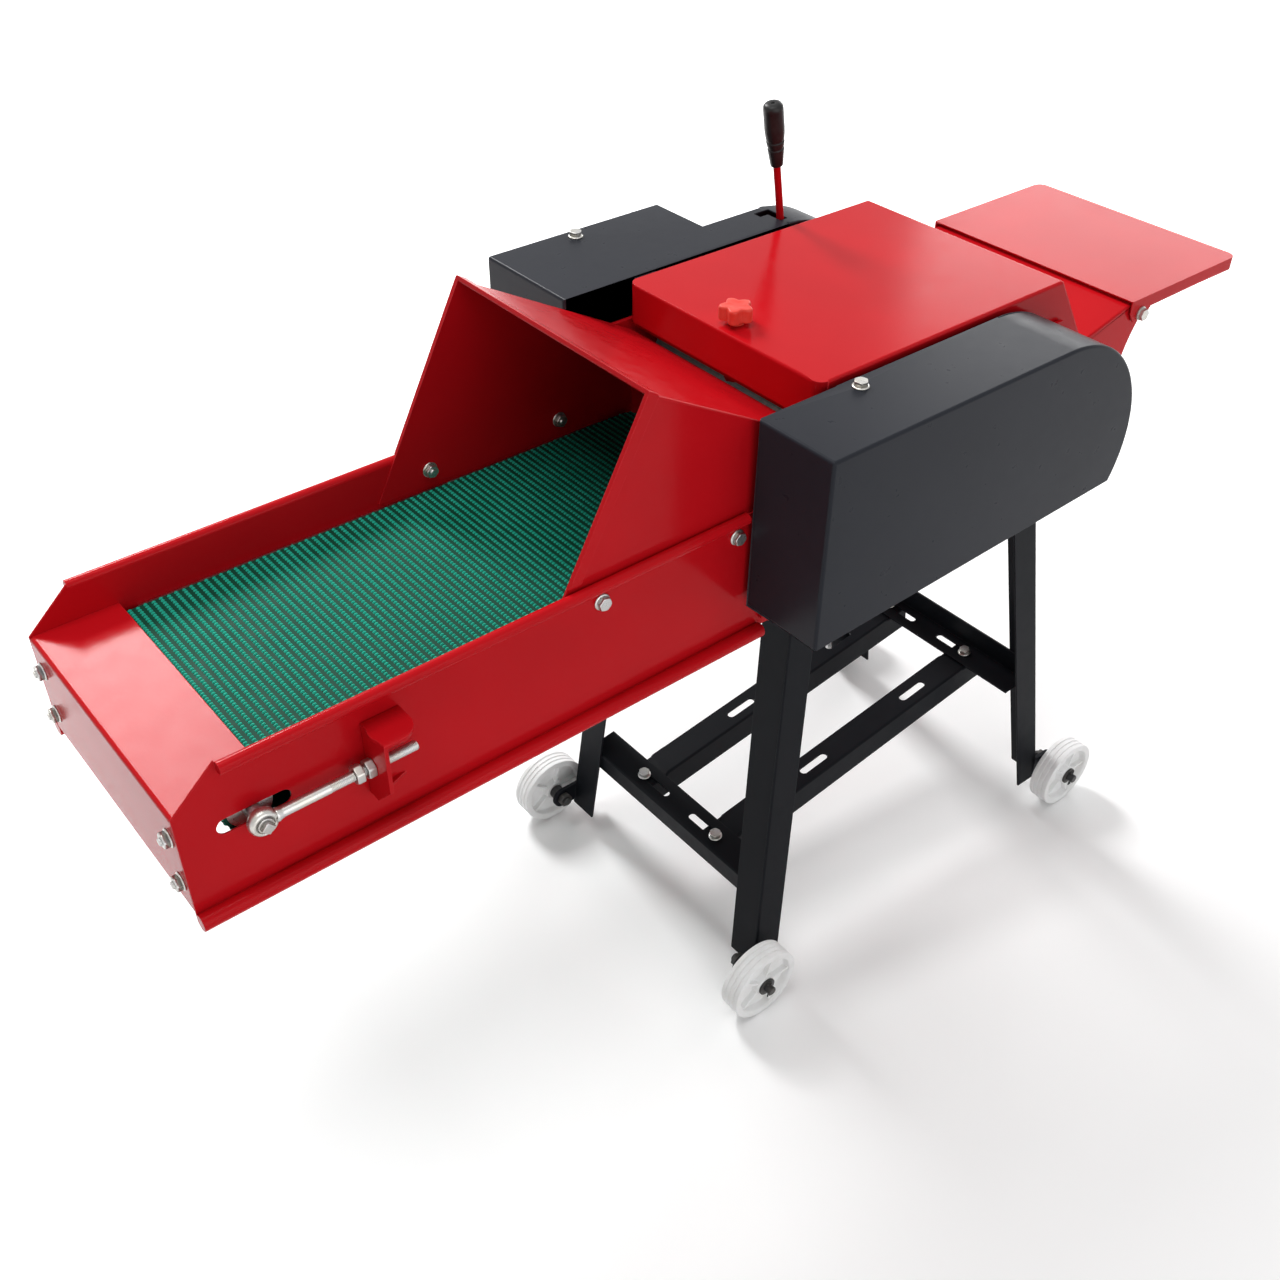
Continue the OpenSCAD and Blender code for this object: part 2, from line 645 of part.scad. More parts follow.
// Hood over the trough: two walls, a top that falls towards the cutter, and hemmed front edges
hood_foot = [hood_foot_x, hood_low_z];
hood_peak = [hood_peak_x, hood_peak_z];
hood_rear = [hood_rear_x, hood_rear_z];
function along(p, q, d) = p + (q - p) / norm(q - p) * d;
module feed_hood() {
    hem_foot = along(hood_foot, hood_peak, (panel_top_z + 4 - hood_low_z) * norm(hood_peak - hood_foot)
                     / (hood_peak_z - hood_low_z));
    color("firebrick") difference() {
        union() {
            for (y = [-inner_y, inner_y - sheet]) slab_y(y, y + sheet)
                polygon([hood_foot, hood_peak, hood_rear, [hood_rear_x, hood_low_z]]);
            slab_y(-inner_y, inner_y) polygon([hood_peak, hood_rear, hood_rear - [0, sheet],
                                               hood_peak - [0, 1.2 * sheet]]);
            for (y = [-inner_y - 1.5 * sheet, inner_y - eps]) slab_y(y, y + 1.5 * sheet + eps)
                polygon([hem_foot, hood_peak, along(hood_peak, hood_rear, hem_w), hem_foot + [hem_w, 0]]);
            slab_y(-inner_y - 1.5 * sheet, inner_y + 1.5 * sheet)
                polygon([hood_peak, hood_peak + [1, 1.5 * sheet],
                         along(hood_peak, hood_rear, hem_w) + [0, 1.5 * sheet],
                         along(hood_peak, hood_rear, hem_w)]);
        }
        for (x = hood_bolts_x) rod_y([x, hood_bolt_z], -half_w, half_w, bolt_r);
    }
}

// All flange bolts of the trough, hood, housing, guards and stand
module flange_bolts() {
    color("silver") {
        for (z = front_bolts_z, s = [-1, 1]) translate([2 * sheet, s * front_bolt_y, z]) rotate([0, 90, 0])
            flange_bolt(2 * sheet);
        both_sides() {
            for (x = hood_bolts_x) bolt_y([x, hood_bolt_z], -half_w, 2 * sheet, -1);
            for (z = frame_bolts_z) bolt_y([frame_bolt_x, z], -plate_out, plate_t + sheet, -1);
            for (z = chute_bolts_z) bolt_y([chute_bolt_x, z], -plate_out, plate_t + sheet, -1);
            for (x = leg_bolts_x, z = leg_bolts_z) bolt_y([x, z], -plate_out - angle_t, plate_t + angle_t, -1);
            for (c = bearing_bolts) bolt_y(c, -plate_out - bearing_t, plate_t + bearing_t, -1);
        }
        on_rails() for (u = rail_bolts_u, s = [-1, 1]) translate([u, s * rail_y, 0]) flange_bolt(2 * angle_t);
        for (y = guard_bolts_y) translate([guard_bolt_x, y, guard_top_z])
            flange_bolt(sheet + plate_gauge);
    }
}

// Side plates of the cutter housing
module side_plate_blank() {
    difference() {
        slab_y(plate_y, plate_out) polygon([[housing_x0, panel_low_z + 12], [housing_x0 + 40, plate_low_z],
            [housing_x1, plate_low_z], [housing_x1, chute_z0 - 6], [housing_x1 - 20, chute_z0 + 14],
            [housing_x1 - 20, plate_top_z], [housing_x0, plate_top_z]]);
        rod_y(cutter_c, plate_y - 1, plate_out + 1, shaft_r + 3);
        for (c = [upper_c, lower_c, roller_c]) rod_y(c, plate_y - 1, plate_out + 1, bush_r);
        for (z = frame_bolts_z) rod_y([frame_bolt_x, z], plate_y - 1, plate_out + 1, bolt_r);
        for (x = leg_bolts_x, z = leg_bolts_z) rod_y([x, z], plate_y - 1, plate_out + 1, bolt_r);
        for (z = chute_bolts_z) rod_y([chute_bolt_x, z], plate_y - 1, plate_out + 1, bolt_r);
        for (c = bearing_bolts) rod_y(c, plate_y - 1, plate_out + 1, bolt_r);
    }
}
module side_plate_near() { color("firebrick") mirror([0, 1, 0]) side_plate_blank(); }
module side_plate_far() {
    color("firebrick") difference() {
        side_plate_blank();
        for (c = [counter_c, idler_c]) rod_y(c, plate_y - 1, plate_out + 1, counter_pin_r);
        rod_y(fork_rod_c, plate_y - 1, plate_out + 1, fork_rod_r);
    }
}

// Flange bearings of the cutter shaft
bearing_t = 6;
bearing_pcd_r = 46;
bearing_bolts = [for (t = [30 : 90 : 300]) cutter_c + bearing_pcd_r * [cos(t), sin(t)]];
module cutter_bearings() {
    color("dimgray") both_sides() difference() {
        union() {
            slab_y(plate_out, plate_out + bearing_t) {
                translate(cutter_c) circle(bearing_pcd_r - 4);
                for (c = bearing_bolts) translate(c) circle(11);
                translate(cutter_c) rotate(30) for (t = [0, 90]) rotate(t)
                    square([2 * bearing_pcd_r, 22], center = true);
            }
            rod_y(cutter_c, plate_out + bearing_t - 1, plate_out + 8, shaft_r + 12);
        }
        rod_y(cutter_c, plate_out - 1, plate_out + 11, shaft_r + run_gap);
        for (c = bearing_bolts) rod_y(c, plate_out - 1, plate_out + bearing_t + 1, bolt_r);
    }
}

// Bar across the housing that carries the fixed knife
bed_edge_x = cutter_x - knife_tip_r - 0.8;
bed_top_z = belt_top_z + 1;
bar_z0 = bed_top_z - 40;
module knife_bar() {
    color("firebrick") box([bed_edge_x - 24, -plate_y, bar_z0], [bed_edge_x - 4, plate_y, bed_top_z - 8]);
}
module bed_knife() {
    color("silver") slab_y(-plate_y + 2, plate_y - 2) polygon([[bed_edge_x - 24, bed_top_z - 8],
        [bed_edge_x - 6, bed_top_z - 8], [bed_edge_x, bed_top_z], [bed_edge_x - 24, bed_top_z]]);
}

// Curved floor under the cutter, from the knife bar round to the outlet
concave_r = knife_tip_r + 6;
module drum_concave() {
    start = [bed_edge_x - 6, bar_z0 + 1];
    color("firebrick") slab_y(-plate_y, plate_y) difference() {
        translate(cutter_c) circle(concave_r + sheet);
        translate(cutter_c) circle(concave_r);
        translate([cutter_x - 2 * concave_r, bar_z0]) square(4 * concave_r);
    }
}

// Outlet: a rising top plate between two side walls with a hollowed rear edge
chute_low_z = cutter_z - 70;
chute_bolt_x = cutter_x + 124;
chute_bolts_z = [cutter_z - 25, cutter_z + 24];
module chute_wall() {
    hollow_r = 150;
    difference() {
        polygon([[chute_x0 - 16, cutter_z - 44], [chute_x0 - 16, chute_z0 - 4], [chute_x0, chute_z0],
                 [chute_x1, chute_z1], [pivot_x + 8, pivot_z + 8], [pivot_x + 10, pivot_z - 8],
                 [pivot_x - 2, chute_low_z], [chute_x0 - 3, chute_low_z]]);
        for (z = chute_bolts_z) translate([chute_bolt_x, z]) circle(bolt_r);
        translate([pivot_x + hollow_r - 16, pivot_z - hollow_r * 0.6]) circle(hollow_r);
        translate([pivot_x, pivot_z]) circle(bolt_r);
    }
}
module discharge_chute() {
    color("firebrick") {
        for (y = [-half_w, half_w - sheet]) slab_y(y, y + sheet) chute_wall();
        slab_y(-half_w, half_w) polygon([[chute_x0, chute_z0], [chute_x1, chute_z1],
            [chute_x1 + chute_lip, chute_z1], [chute_x1 + chute_lip, chute_z1 - sheet],
            [chute_x1, chute_z1 - sheet], [chute_x0, chute_z0 - sheet]]);
    }
}

// Cutter: stepped shaft, two spiders, skewed knives and their bolts
spider_y = 95;
spider_w = 14;
knife_half = plate_y - 16;
knife_t = 8;
knife_w = 52;
knife_skew = 2;
arm_w = 26;
module cutter_shaft() {
    color("gray") {
        rod_y(cutter_c, -pulley_y1 - 4, plate_out + 14, shaft_r);
        rod_y(cutter_c, plate_out + 13, gear_guard_rear_y - sheet - 3, stub_r);
    }
}
module cutter_spiders() {
    color("dimgray") for (y = [-spider_y, spider_y]) difference() {
        slab_y(y - spider_w / 2, y + spider_w / 2) translate(cutter_c) {
            circle(shaft_r + 16);
            for (i = [0 : knife_count - 1]) rotate(i * 360 / knife_count)
                translate([0, -arm_w]) square([knife_tip_r - 16, arm_w + y * sin(knife_skew) - seat_gap]);
        }
        rod_y(cutter_c, y - spider_w, y + spider_w, shaft_r);
        at_knife_bolts() knife_shank();
    }
}
module on_arm(i) {
    translate([cutter_x, 0, cutter_z]) rotate([0, -i * 360 / knife_count, 0]) children();
}
module cutter_knives() {
    color("silver") difference() {
        for (i = [0 : knife_count - 1]) on_arm(i) rotate([knife_skew, 0, 0])
            slab_y(-knife_half, knife_half) polygon([[knife_tip_r - knife_w, 0], [knife_tip_r - 10, 0],
                [knife_tip_r - 0.6, knife_t], [knife_tip_r - knife_w, knife_t]]);
        at_knife_bolts() knife_shank();
    }
}
module at_knife_bolts() {
    for (i = [0 : knife_count - 1], y = [-spider_y, spider_y]) on_arm(i)
        rotate([knife_skew, 0, 0]) translate([knife_tip_r - 36, y, knife_t]) children();
}
module knife_shank() { translate([0, 0, -knife_t - 16]) cylinder(h = knife_t + 16 + eps, r = bolt_r); }
module knife_bolts() {
    color("dimgray") at_knife_bolts() {
        knife_shank();
        cylinder(h = 7, d = head_flats / cos(30), $fn = 6);
    }
}

// Two-groove belt pulley on the near end of the cutter shaft
pulley_y0 = plate_out + 30;
pulley_y1 = pulley_y0 + 44;
module drive_pulley() {
    v_deep = 12;
    v_wide = 13;
    web_w = 10;
    mid = (pulley_y0 + pulley_y1) / 2;
    color("dimgray") mirror([0, 1, 0]) difference() {
        translate([cutter_x, 0, cutter_z]) rotate([-90, 0, 0]) rotate_extrude() difference() {
            translate([shaft_r, pulley_y0]) square([pulley_r - shaft_r, pulley_y1 - pulley_y0]);
            for (s = [-1, 1]) translate([pulley_r, mid + s * 11])
                polygon([[1, v_wide / 2], [1, -v_wide / 2], [-v_deep, -v_wide / 4], [-v_deep, v_wide / 4]]);
            for (s = [-1, 1]) translate([shaft_r + 17, mid + s * (web_w / 2 + 10) - 10])
                translate([0, s < 0 ? -10 : 0]) square([pulley_r - shaft_r - 44, 30]);
        }
        for (i = [0 : 4]) on_axis(i * 72) rod_y([pulley_r * 0.56, 0], mid - web_w, mid + web_w, 0.12 * pulley_r);
    }
}
module on_axis(turn) { translate([cutter_x, 0, cutter_z]) rotate([0, turn, 0]) children(); }

// Side outline of the guards: straight front, and a round end about the cutter shaft
module guard_outline(inset, x0, drop) {
    difference() {
        union() {
            translate([x0 + inset, guard_low_front - drop])
                square([cutter_x - x0 - inset, guard_top_z - inset - guard_low_front + drop]);
            translate(cutter_c) circle(guard_r - inset);
        }
        polygon([[x0 - 50, guard_low_front - drop], [cutter_x + guard_r + 50, guard_low_rear + 2 - drop],
                 [cutter_x + guard_r + 50, cutter_z - 2 * guard_r], [x0 - 50, cutter_z - 2 * guard_r]]);
    }
}
module belt_guard() {
    color("#33363b") mirror([0, 1, 0]) difference() {
        slab_y(guard_y, belt_guard_y) guard_outline(0, guard_x0, 0);
        slab_y(guard_y - 1, belt_guard_y - sheet) guard_outline(sheet, guard_x0, 60);
        translate([guard_bolt_x, -guard_bolts_y[0], guard_top_z - 2 * sheet]) cylinder(h = 3 * sheet, r = bolt_r);
    }
}

// Far guard: a deep front part over the gears and a shallow rear part with the lever's gate
gate_x = lever_pivot[0] + lever_lean[0];
gate_y = lever_pivot[1] + lever_lean[1];
gate_half = lever_r + 1.5;
gate_travel = 22;
gear_guard_drop = 22;
module gear_guard() {
    color("#33363b") difference() {
        union() {
            box([gear_guard_x0, guard_y, gear_guard_low], [gear_step_x, gear_guard_y, guard_top_z]);
            slab_y(guard_y, gear_guard_rear_y) guard_outline(0, gear_step_x - 20, gear_guard_drop);
        }
        box([gear_guard_x0 + sheet, guard_y - 1, gear_guard_low - 1],
            [gear_step_x - sheet, gear_guard_y - sheet, guard_top_z - sheet]);
        slab_y(guard_y - 1, gear_guard_rear_y - sheet) guard_outline(sheet, gear_step_x - 24, 80);
        slab_z(guard_top_z - 2 * sheet, guard_top_z + 1) {
            translate([gate_x - gate_half, gate_y - gate_half]) square([2 * gate_half, gate_travel + 2 * gate_half]);
            translate([gate_x - 3 * gate_half, gate_y + gate_travel - gate_half])
                square([3 * gate_half, 2 * gate_half]);
        }
        translate([guard_bolt_x, guard_bolts_y[1], guard_top_z - 2 * sheet]) cylinder(h = 3 * sheet, r = bolt_r);
    }
}

// Angle brackets that hold the guards to the side plates
guard_bolts_y = [-guard_y - 15, gear_guard_y - 18];
module guard_bracket(reach, bolt_y) {
    top = guard_top_z - sheet;
    difference() {
        slab_x(guard_bolt_x - 15, guard_bolt_x + 15) polygon([[plate_out, plate_top_z - 45], [plate_out, top],
            [plate_out + reach, top], [plate_out + reach, top - plate_gauge],
            [plate_out + plate_gauge, top - plate_gauge], [plate_out + plate_gauge, plate_top_z - 45]]);
        translate([guard_bolt_x, bolt_y, top - 2 * plate_gauge]) cylinder(h = 3 * plate_gauge, r = bolt_r);
    }
}
module guard_brackets() {
    color("#33363b") {
        mirror([0, 1, 0]) guard_bracket(36, -guard_bolts_y[0]);
        guard_bracket(gear_guard_w, guard_bolts_y[1]);
    }
}

// Hinged top cover: a tray with rounded corners, a sloping rear wall and two hinge knuckles
module cover_outline(inset, drop) {
    low = cover_top_z - cover_skirt - drop;
    polygon([[cover_x0 + inset, low], [cover_x0 + inset, cover_top_z - inset],
             [cover_x1 - 0.6 * inset, cover_top_z - inset],
             cover_low + [-1.2 * inset, -drop],
             cover_low + [-26, -drop], [cover_x1 - 20, low]]);
}
hinge_half = 16;
module cover_knuckles() {
    for (s = [-1, 1]) difference() {
        union() {
            rod_y([hinge_x, hinge_z], s * 70 - hinge_half, s * 70 + hinge_half, hinge_pin_r + 3);
            slab_y(s * 70 - hinge_half, s * 70 + hinge_half) polygon([[hinge_x, hinge_z + 6.5],
                [hinge_x - 6, hinge_z + 2], cover_low + [-1.6, 0.6], cover_low + [-9, 11.4]]);
        }
        rod_y([hinge_x, hinge_z], s * 70 - 20, s * 70 + 20, hinge_pin_r + run_gap);
    }
}
module top_cover() {
    color("firebrick") {
        difference() {
            intersection() {
                slab_y(-cover_half, cover_half) cover_outline(0, 0);
                slab_z(0, 2 * cover_top_z) rounded_rect(cover_x0, cover_low[0] + 1, cover_half, cover_corner_r, 1);
            }
            intersection() {
                slab_y(-cover_half, cover_half) cover_outline(sheet, 40);
                slab_z(0, 2 * cover_top_z) rounded_rect(cover_x0 + sheet, cover_low[0] + 1,
                    cover_half - sheet, cover_corner_r - sheet, 1);
            }
            translate([knob_x, 0, cover_top_z - 2 * sheet]) cylinder(h = 4 * sheet, r = stud_r + 0.3);
        }
        cover_knuckles();
    }
}

// Five-lobed knob with its stud
module cover_knob() {
    lobe = 0.34 * knob_r;
    base = cover_top_z + seat_gap;
    color("red") translate([knob_x, 0, 0]) {
        translate([0, 0, base]) cylinder(h = 6, r = 0.45 * knob_r);
        slab_z(base + 5, base + 20) {
            circle(0.75 * knob_r);
            for (i = [0 : 4]) rotate(i * 72) translate([knob_r - lobe, 0]) circle(lobe);
        }
        translate([0, 0, base + 20 - eps]) cylinder(h = 2.5, r1 = 0.72 * knob_r, r2 = 0.55 * knob_r);
        translate([0, 0, latch_z - 10]) cylinder(h = base - latch_z + 11, r = stud_r);
    }
}

// Bar under the cover's front with a welded nut for the knob's stud
latch_z = hood_rear_z + 1;
module latch_bar() {
    bar = 28;
    thick = 4;
    color("firebrick") difference() {
        union() {
            box([knob_x - bar / 2, -plate_y, latch_z], [knob_x + bar / 2, plate_y, latch_z + thick]);
            translate([knob_x, 0, latch_z - 8]) cylinder(h = 8 + eps, r = 10, $fn = 6);
        }
        translate([knob_x, 0, latch_z - 9]) cylinder(h = 20, r = stud_r + 1);
    }
}

// Hinge ears on the chute's top plate, and their pins
function chute_top(x) = chute_z0 + chute_rise * (x - chute_x0);
module cover_hinges() {
    ear = 4;
    color("firebrick") for (s = [-1, 1]) {
        difference() {
            for (e = [-1, 1]) {
                y0 = s * 70 + (e < 0 ? -hinge_half - seat_gap - ear : hinge_half + seat_gap);
                slab_y(y0, y0 + ear) {
                    translate([hinge_x, hinge_z]) circle(hinge_pin_r + 3);
                    polygon([[hinge_x - 5, chute_top(hinge_x - 5)], [hinge_x + 9, chute_top(hinge_x + 9)],
                             [hinge_x + 7, hinge_z], [hinge_x - 6, hinge_z]]);
                }
            }
            rod_y([hinge_x, hinge_z], s * 70 - 40, s * 70 + 40, hinge_pin_r + run_gap);
        }
        rod_y([hinge_x, hinge_z], s * 70 - hinge_half - 8, s * 70 + hinge_half + 8, hinge_pin_r);
    }
}

// Discharge flap: a plate with turned-down sides, hung on two pivot bolts
module discharge_flap() {
    side = [[flap_x0, flap_z], [flap_x1, flap_z], [flap_x1, flap_z - flap_flange],
            [pivot_x + 20, flap_z - flap_flange], [pivot_x + 11, pivot_z - 9],
            [pivot_x - 11, pivot_z - 9], [flap_x0, flap_z - flap_flange]];
    color("firebrick") difference() {
        intersection() {
            slab_y(-flap_half, flap_half) polygon(side);
            slab_z(0, flap_z) rounded_rect(flap_x0, flap_x1, flap_half, 1, flap_corner_r);
        }
        slab_z(0, flap_z - sheet) rounded_rect(flap_x0 - 5, flap_x1 - sheet, flap_half - sheet, 1, flap_corner_r - sheet);
        rod_y([pivot_x, pivot_z], -flap_half - 1, flap_half + 1, bolt_r + run_gap);
    }
}
module flap_pivots() {
    grip = 3 * sheet + seat_gap;
    color("silver") both_sides() bolt_y([pivot_x, pivot_z], -flap_half - seat_gap, grip, -1);
}

// Gear lever: pivot boss, leaning rod, and a tail with a ball in the fork
function unit(v) = v / norm(v);
module strut(p, d, len, r0, r1) {
    translate(p) rotate([0, acos(unit(d)[2]), atan2(d[1], d[0])]) cylinder(h = len, r1 = r0, r2 = r1);
}
lever_pin_r = 4;
lever_boss_half = 8;
ball_r = 5.5;
ball_c = lever_pivot + lever_tail;
module gear_lever() {
    color("firebrick") difference() {
        union() {
            rod_x(lever_pivot[0] - lever_boss_half, lever_pivot[0] + lever_boss_half, lever_pivot[1], lever_pivot[2], 9);
            strut(lever_pivot, lever_lean, lever_len + 20, lever_r, lever_r);
            strut(lever_pivot, lever_tail, norm(lever_tail), 4, 4);
            translate(ball_c) sphere(ball_r);
        }
        rod_x(lever_pivot[0] - lever_boss_half - 1, lever_pivot[0] + lever_boss_half + 1, lever_pivot[1], lever_pivot[2],
              lever_pin_r + run_gap);
    }
}
// Tapered grip with two ring grooves and a domed end
module lever_grip() {
    r_low = 1.7 * lever_r;
    r_high = 2.6 * lever_r;
    color("#202124") translate(lever_pivot)
        rotate([0, acos(unit(lever_lean)[2]), atan2(lever_lean[1], lever_lean[0])])
            translate([0, 0, lever_len]) rotate_extrude() difference() {
                polygon([[0, 0], [r_low, 0], [r_low, 4], [r_high, 0.55 * grip_len], [r_high, grip_len - 4],
                         [r_high - 4, grip_len], [0, grip_len]]);
                translate([-1, -1]) square([lever_r + 1, 21]);
                for (z = [0.3, 0.42]) translate([r_high + 0.4, z * grip_len]) circle(2.6);
            }
}

// Ears and pin that carry the lever
module lever_bracket() {
    ear = 4;
    x = lever_pivot[0];
    y1 = lever_pivot[1] + 10;
    color("dimgray") {
        difference() {
            union() {
                box([x - 16, plate_out, plate_top_z - 32], [x + 16, plate_out + plate_gauge, plate_top_z]);
                for (x0 = [x - lever_boss_half - seat_gap - ear, x + lever_boss_half + seat_gap])
                    box([x0, plate_out, lever_pivot[2] - 8], [x0 + ear, y1, lever_pivot[2] + 8]);
            }
            rod_x(x - 20, x + 20, lever_pivot[1], lever_pivot[2], lever_pin_r + run_gap);
        }
        rod_x(x - 14, x + 14, lever_pivot[1], lever_pivot[2], lever_pin_r);
    }
}

// Shift fork: slides on its rod, sits in the pinion's groove and holds the lever's ball
module shift_fork() {
    x = ball_c[0];
    y = ball_c[1];
    z = ball_c[2];
    wall = 2.6;
    floor_t = 2;
    open = ball_r + 0.6;
    color("dimgray") difference() {
        union() {
            slab_y(groove_y + seat_gap, groove_y + groove_w - seat_gap) difference() {
                union() {
                    translate(fork_rod_c) circle(fork_rod_r + 5);
                    polygon([fork_rod_c + [-4, 9], fork_rod_c + [8, 4], [cutter_x + 20, cutter_z + 4],
                             [cutter_x - 20, cutter_z + 4], [cutter_x - 20, cutter_z + 20], [x - 9, z + 7]]);
                }
                translate(cutter_c) circle(groove_r + seat_gap);
            }
            rod_y(fork_rod_c, groove_y - 4, groove_y + groove_w + 4, fork_rod_r + 5);
            box([x - 9, y - open - wall, z - ball_r - 1 - floor_t], [x + 9, groove_y + groove_w - seat_gap, z + 7]);
        }
        box([x - 10, y - open, z - ball_r - 1], [x + 10, y + open, z + 10]);
        rod_y(fork_rod_c, groove_y - 10, groove_y + groove_w + 10, fork_rod_r + run_gap);
    }
}

// Leg of angle iron: leaning flanges, a lug for the wheel axle, and a flat tab bolted to the side plate
leg_tab_z = 66;
leg_bolts_z = [leg_top_z + 18, leg_top_z + 48];
leg_bolts_x = [front_top_x + leg_w / 2, rear_top_x - leg_w / 2];
lug_t = 5;
lug_r = 15;
module leg(foot, top, dir, bolt_x, wheel_x) {
    d = [top[0] - foot[0], top[1] - foot[1], leg_top_z - leg_foot_z];
    difference() {
        union() {
            intersection() {
                translate([foot[0], foot[1], leg_foot_z])
                    rotate([-asin(d[1] / norm(d)), atan2(d[0], d[2]), 0])
                        translate([0, 0, -60]) linear_extrude(norm(d) + 120) {
                            translate([dir > 0 ? 0 : -leg_w, 0]) square([leg_w, angle_t]);
                            translate([dir > 0 ? 0 : -angle_t, 0]) square([angle_t, leg_d]);
                        }
                box([foot[0] - 400, -2 * half_w, leg_foot_z], [foot[0] + 400, 2 * half_w, leg_top_z]);
            }
            box([top[0] - (dir > 0 ? 1 : leg_w), -plate_out - angle_t, leg_top_z - 6],
                [top[0] + (dir > 0 ? leg_w : 1), -plate_out, leg_top_z + leg_tab_z]);
            slab_y(foot[1], foot[1] + lug_t) {
                translate([wheel_x, wheel_r]) circle(lug_r);
                translate([min(wheel_x, foot[0] + dir * 12), wheel_r - lug_r])
                    square([abs(foot[0] + dir * 12 - wheel_x), 2 * lug_r]);
            }
        }
        for (z = leg_bolts_z) rod_y([bolt_x, z], -plate_out - angle_t - 1, -plate_out + 1, bolt_r);
        rod_y([wheel_x, wheel_r], foot[1] - 20, foot[1] + 20, wheel_axle_r + run_gap);
    }
}
module front_legs() {
    color("#2b2d31") both_sides()
        leg([front_foot_x, -foot_y], [front_top_x, -top_y], 1, leg_bolts_x[0], front_wheel_x);
}
module rear_legs() {
    color("#2b2d31") both_sides()
        leg([rear_foot_x, -foot_y], [rear_top_x, -top_y], -1, leg_bolts_x[1], rear_wheel_x);
}

// Angles across the stand, slotted so that the rails can be set apart
module on_rails() { translate([rail_mid_x, 0, cross_z]) rotate([0, -rail_tilt, 0]) children(); }
cross_slot_len = 60;
cross_slot_r = 5;
module cross_slots(u) {
    for (s = [-1, 1]) slab_z(-2 * angle_t, 1) translate([u, s * (rail_y - 20)])
        rotate(90) slot_2d(cross_slot_len, cross_slot_r);
}
module front_cross_member() {
    color("#2b2d31") on_rails() difference() {
        slab_y(-cross_half, cross_half) translate([front_bar_u, 0]) polygon([[0, 0], [cross_flange, 0],
            [cross_flange, -angle_t], [angle_t, -angle_t], [angle_t, -cross_drop], [0, -cross_drop]]);
        cross_slots(rail_bolts_u[0]);
    }
}
module rear_cross_member() {
    color("#2b2d31") on_rails() difference() {
        slab_y(-cross_half, cross_half) translate([rear_bar_u, 0]) polygon([[0, -angle_t],
            [-cross_flange, -angle_t], [-cross_flange, 0], [-angle_t, 0], [-angle_t, cross_drop], [0, cross_drop]]);
        cross_slots(rail_bolts_u[1]);
    }
}

// Two motor rails with joggled ends under the cross members, so that the motor's seat is level with them,
// and with a slot for each motor foot
rail_joggle = 6;
module motor_rail(y) {
    top = -angle_t;
    u = [front_bar_u + 6, front_bar_u + cross_flange + 2, rear_bar_u - cross_flange - 2, rear_bar_u - 6];
    upper = [[u[0], top], [u[1], top], [u[1] + rail_joggle, 0], [u[2] - rail_joggle, 0], [u[2], top], [u[3], top]];
    lower = [[u[3], 2 * top], [u[2], 2 * top], [u[2] - rail_joggle, top], [u[1] + rail_joggle, top],
             [u[1], 2 * top], [u[0], 2 * top]];
    difference() {
        union() {
            slab_y(y - rail_w / 2, y + rail_w / 2) polygon(concat(upper, lower));
            slab_y(y - rail_w / 2, y - rail_w / 2 + angle_t)
                polygon(concat(upper, [[u[3], top - cross_drop], [u[0], top - cross_drop]]));
        }
        for (s = [-1, 1]) slab_z(2 * top, 1)
            translate([motor_mid_u + s * motor_slot_dx / 2, y]) slot_2d(motor_slot_len, motor_slot_r);
        for (u = rail_bolts_u) translate([u, y, top - 2 * angle_t]) cylinder(h = 3 * angle_t, r = bolt_r);
    }
}
module motor_rails() { color("#2b2d31") on_rails() for (s = [-1, 1]) motor_rail(s * rail_y); }

// Wheel with a grooved tread, a hollow face and spokes
module wheel(x, side) {
    rim = 10;
    hub = 14;
    web = 8;
    color("gainsboro") translate([x, side * wheel_y, wheel_r]) rotate([side * 90, 0, 0]) difference() {
        union() {
            rotate_extrude() difference() {
                translate([wheel_axle_r + run_gap, -wheel_w / 2])
                    square([wheel_r - wheel_axle_r - run_gap, wheel_w]);
                for (s = [-1, 1]) translate([hub, s > 0 ? web / 2 : -wheel_w / 2 - 1])
                    square([wheel_r - rim - hub, wheel_w / 2 - web / 2 + 1]);
                for (s = [-1, 0, 1]) translate([wheel_r, s * wheel_w / 4]) circle(1.6);
            }
            for (i = [0 : 4]) rotate(i * 72) translate([hub - 1, -2, -wheel_w / 2 + 3])
                cube([wheel_r - rim - hub + 2, 4, wheel_w - 6]);
        }
    }
}
module wheel_front_near() { wheel(front_wheel_x, -1); }
module wheel_front_far() { wheel(front_wheel_x, 1); }
module wheel_rear_near() { wheel(rear_wheel_x, -1); }
module wheel_rear_far() { wheel(rear_wheel_x, 1); }

// Wheel axles with an inner nut, a collar, a washer and a cotter pin
module wheel_axle(x) {
    c = [x, wheel_r];
    inner = foot_y - lug_t;
    outer = wheel_y + wheel_w / 2;
    difference() {
        union() {
            rod_y(c, inner - 12, outer + 12, wheel_axle_r);
            rod_y(c, foot_y, wheel_y - wheel_w / 2 - seat_gap, wheel_axle_r + 4);
            rod_y(c, outer + seat_gap, outer + 2.5, wheel_axle_r + 6);
            translate([x, inner - 8, wheel_r]) rotate([-90, 0, 0])
                cylinder(h = 8, r = 1.75 * wheel_axle_r, $fn = 6);
        }
        translate([x, outer + 6, wheel_r]) cylinder(h = 40, r = 1.6, center = true);
    }
    translate([x, outer + 6, wheel_r]) cylinder(h = 26, r = 1.5, center = true);
}
module wheel_axles() {
    color("#202124") both_sides() for (x = [front_wheel_x, rear_wheel_x]) wheel_axle(x);
}

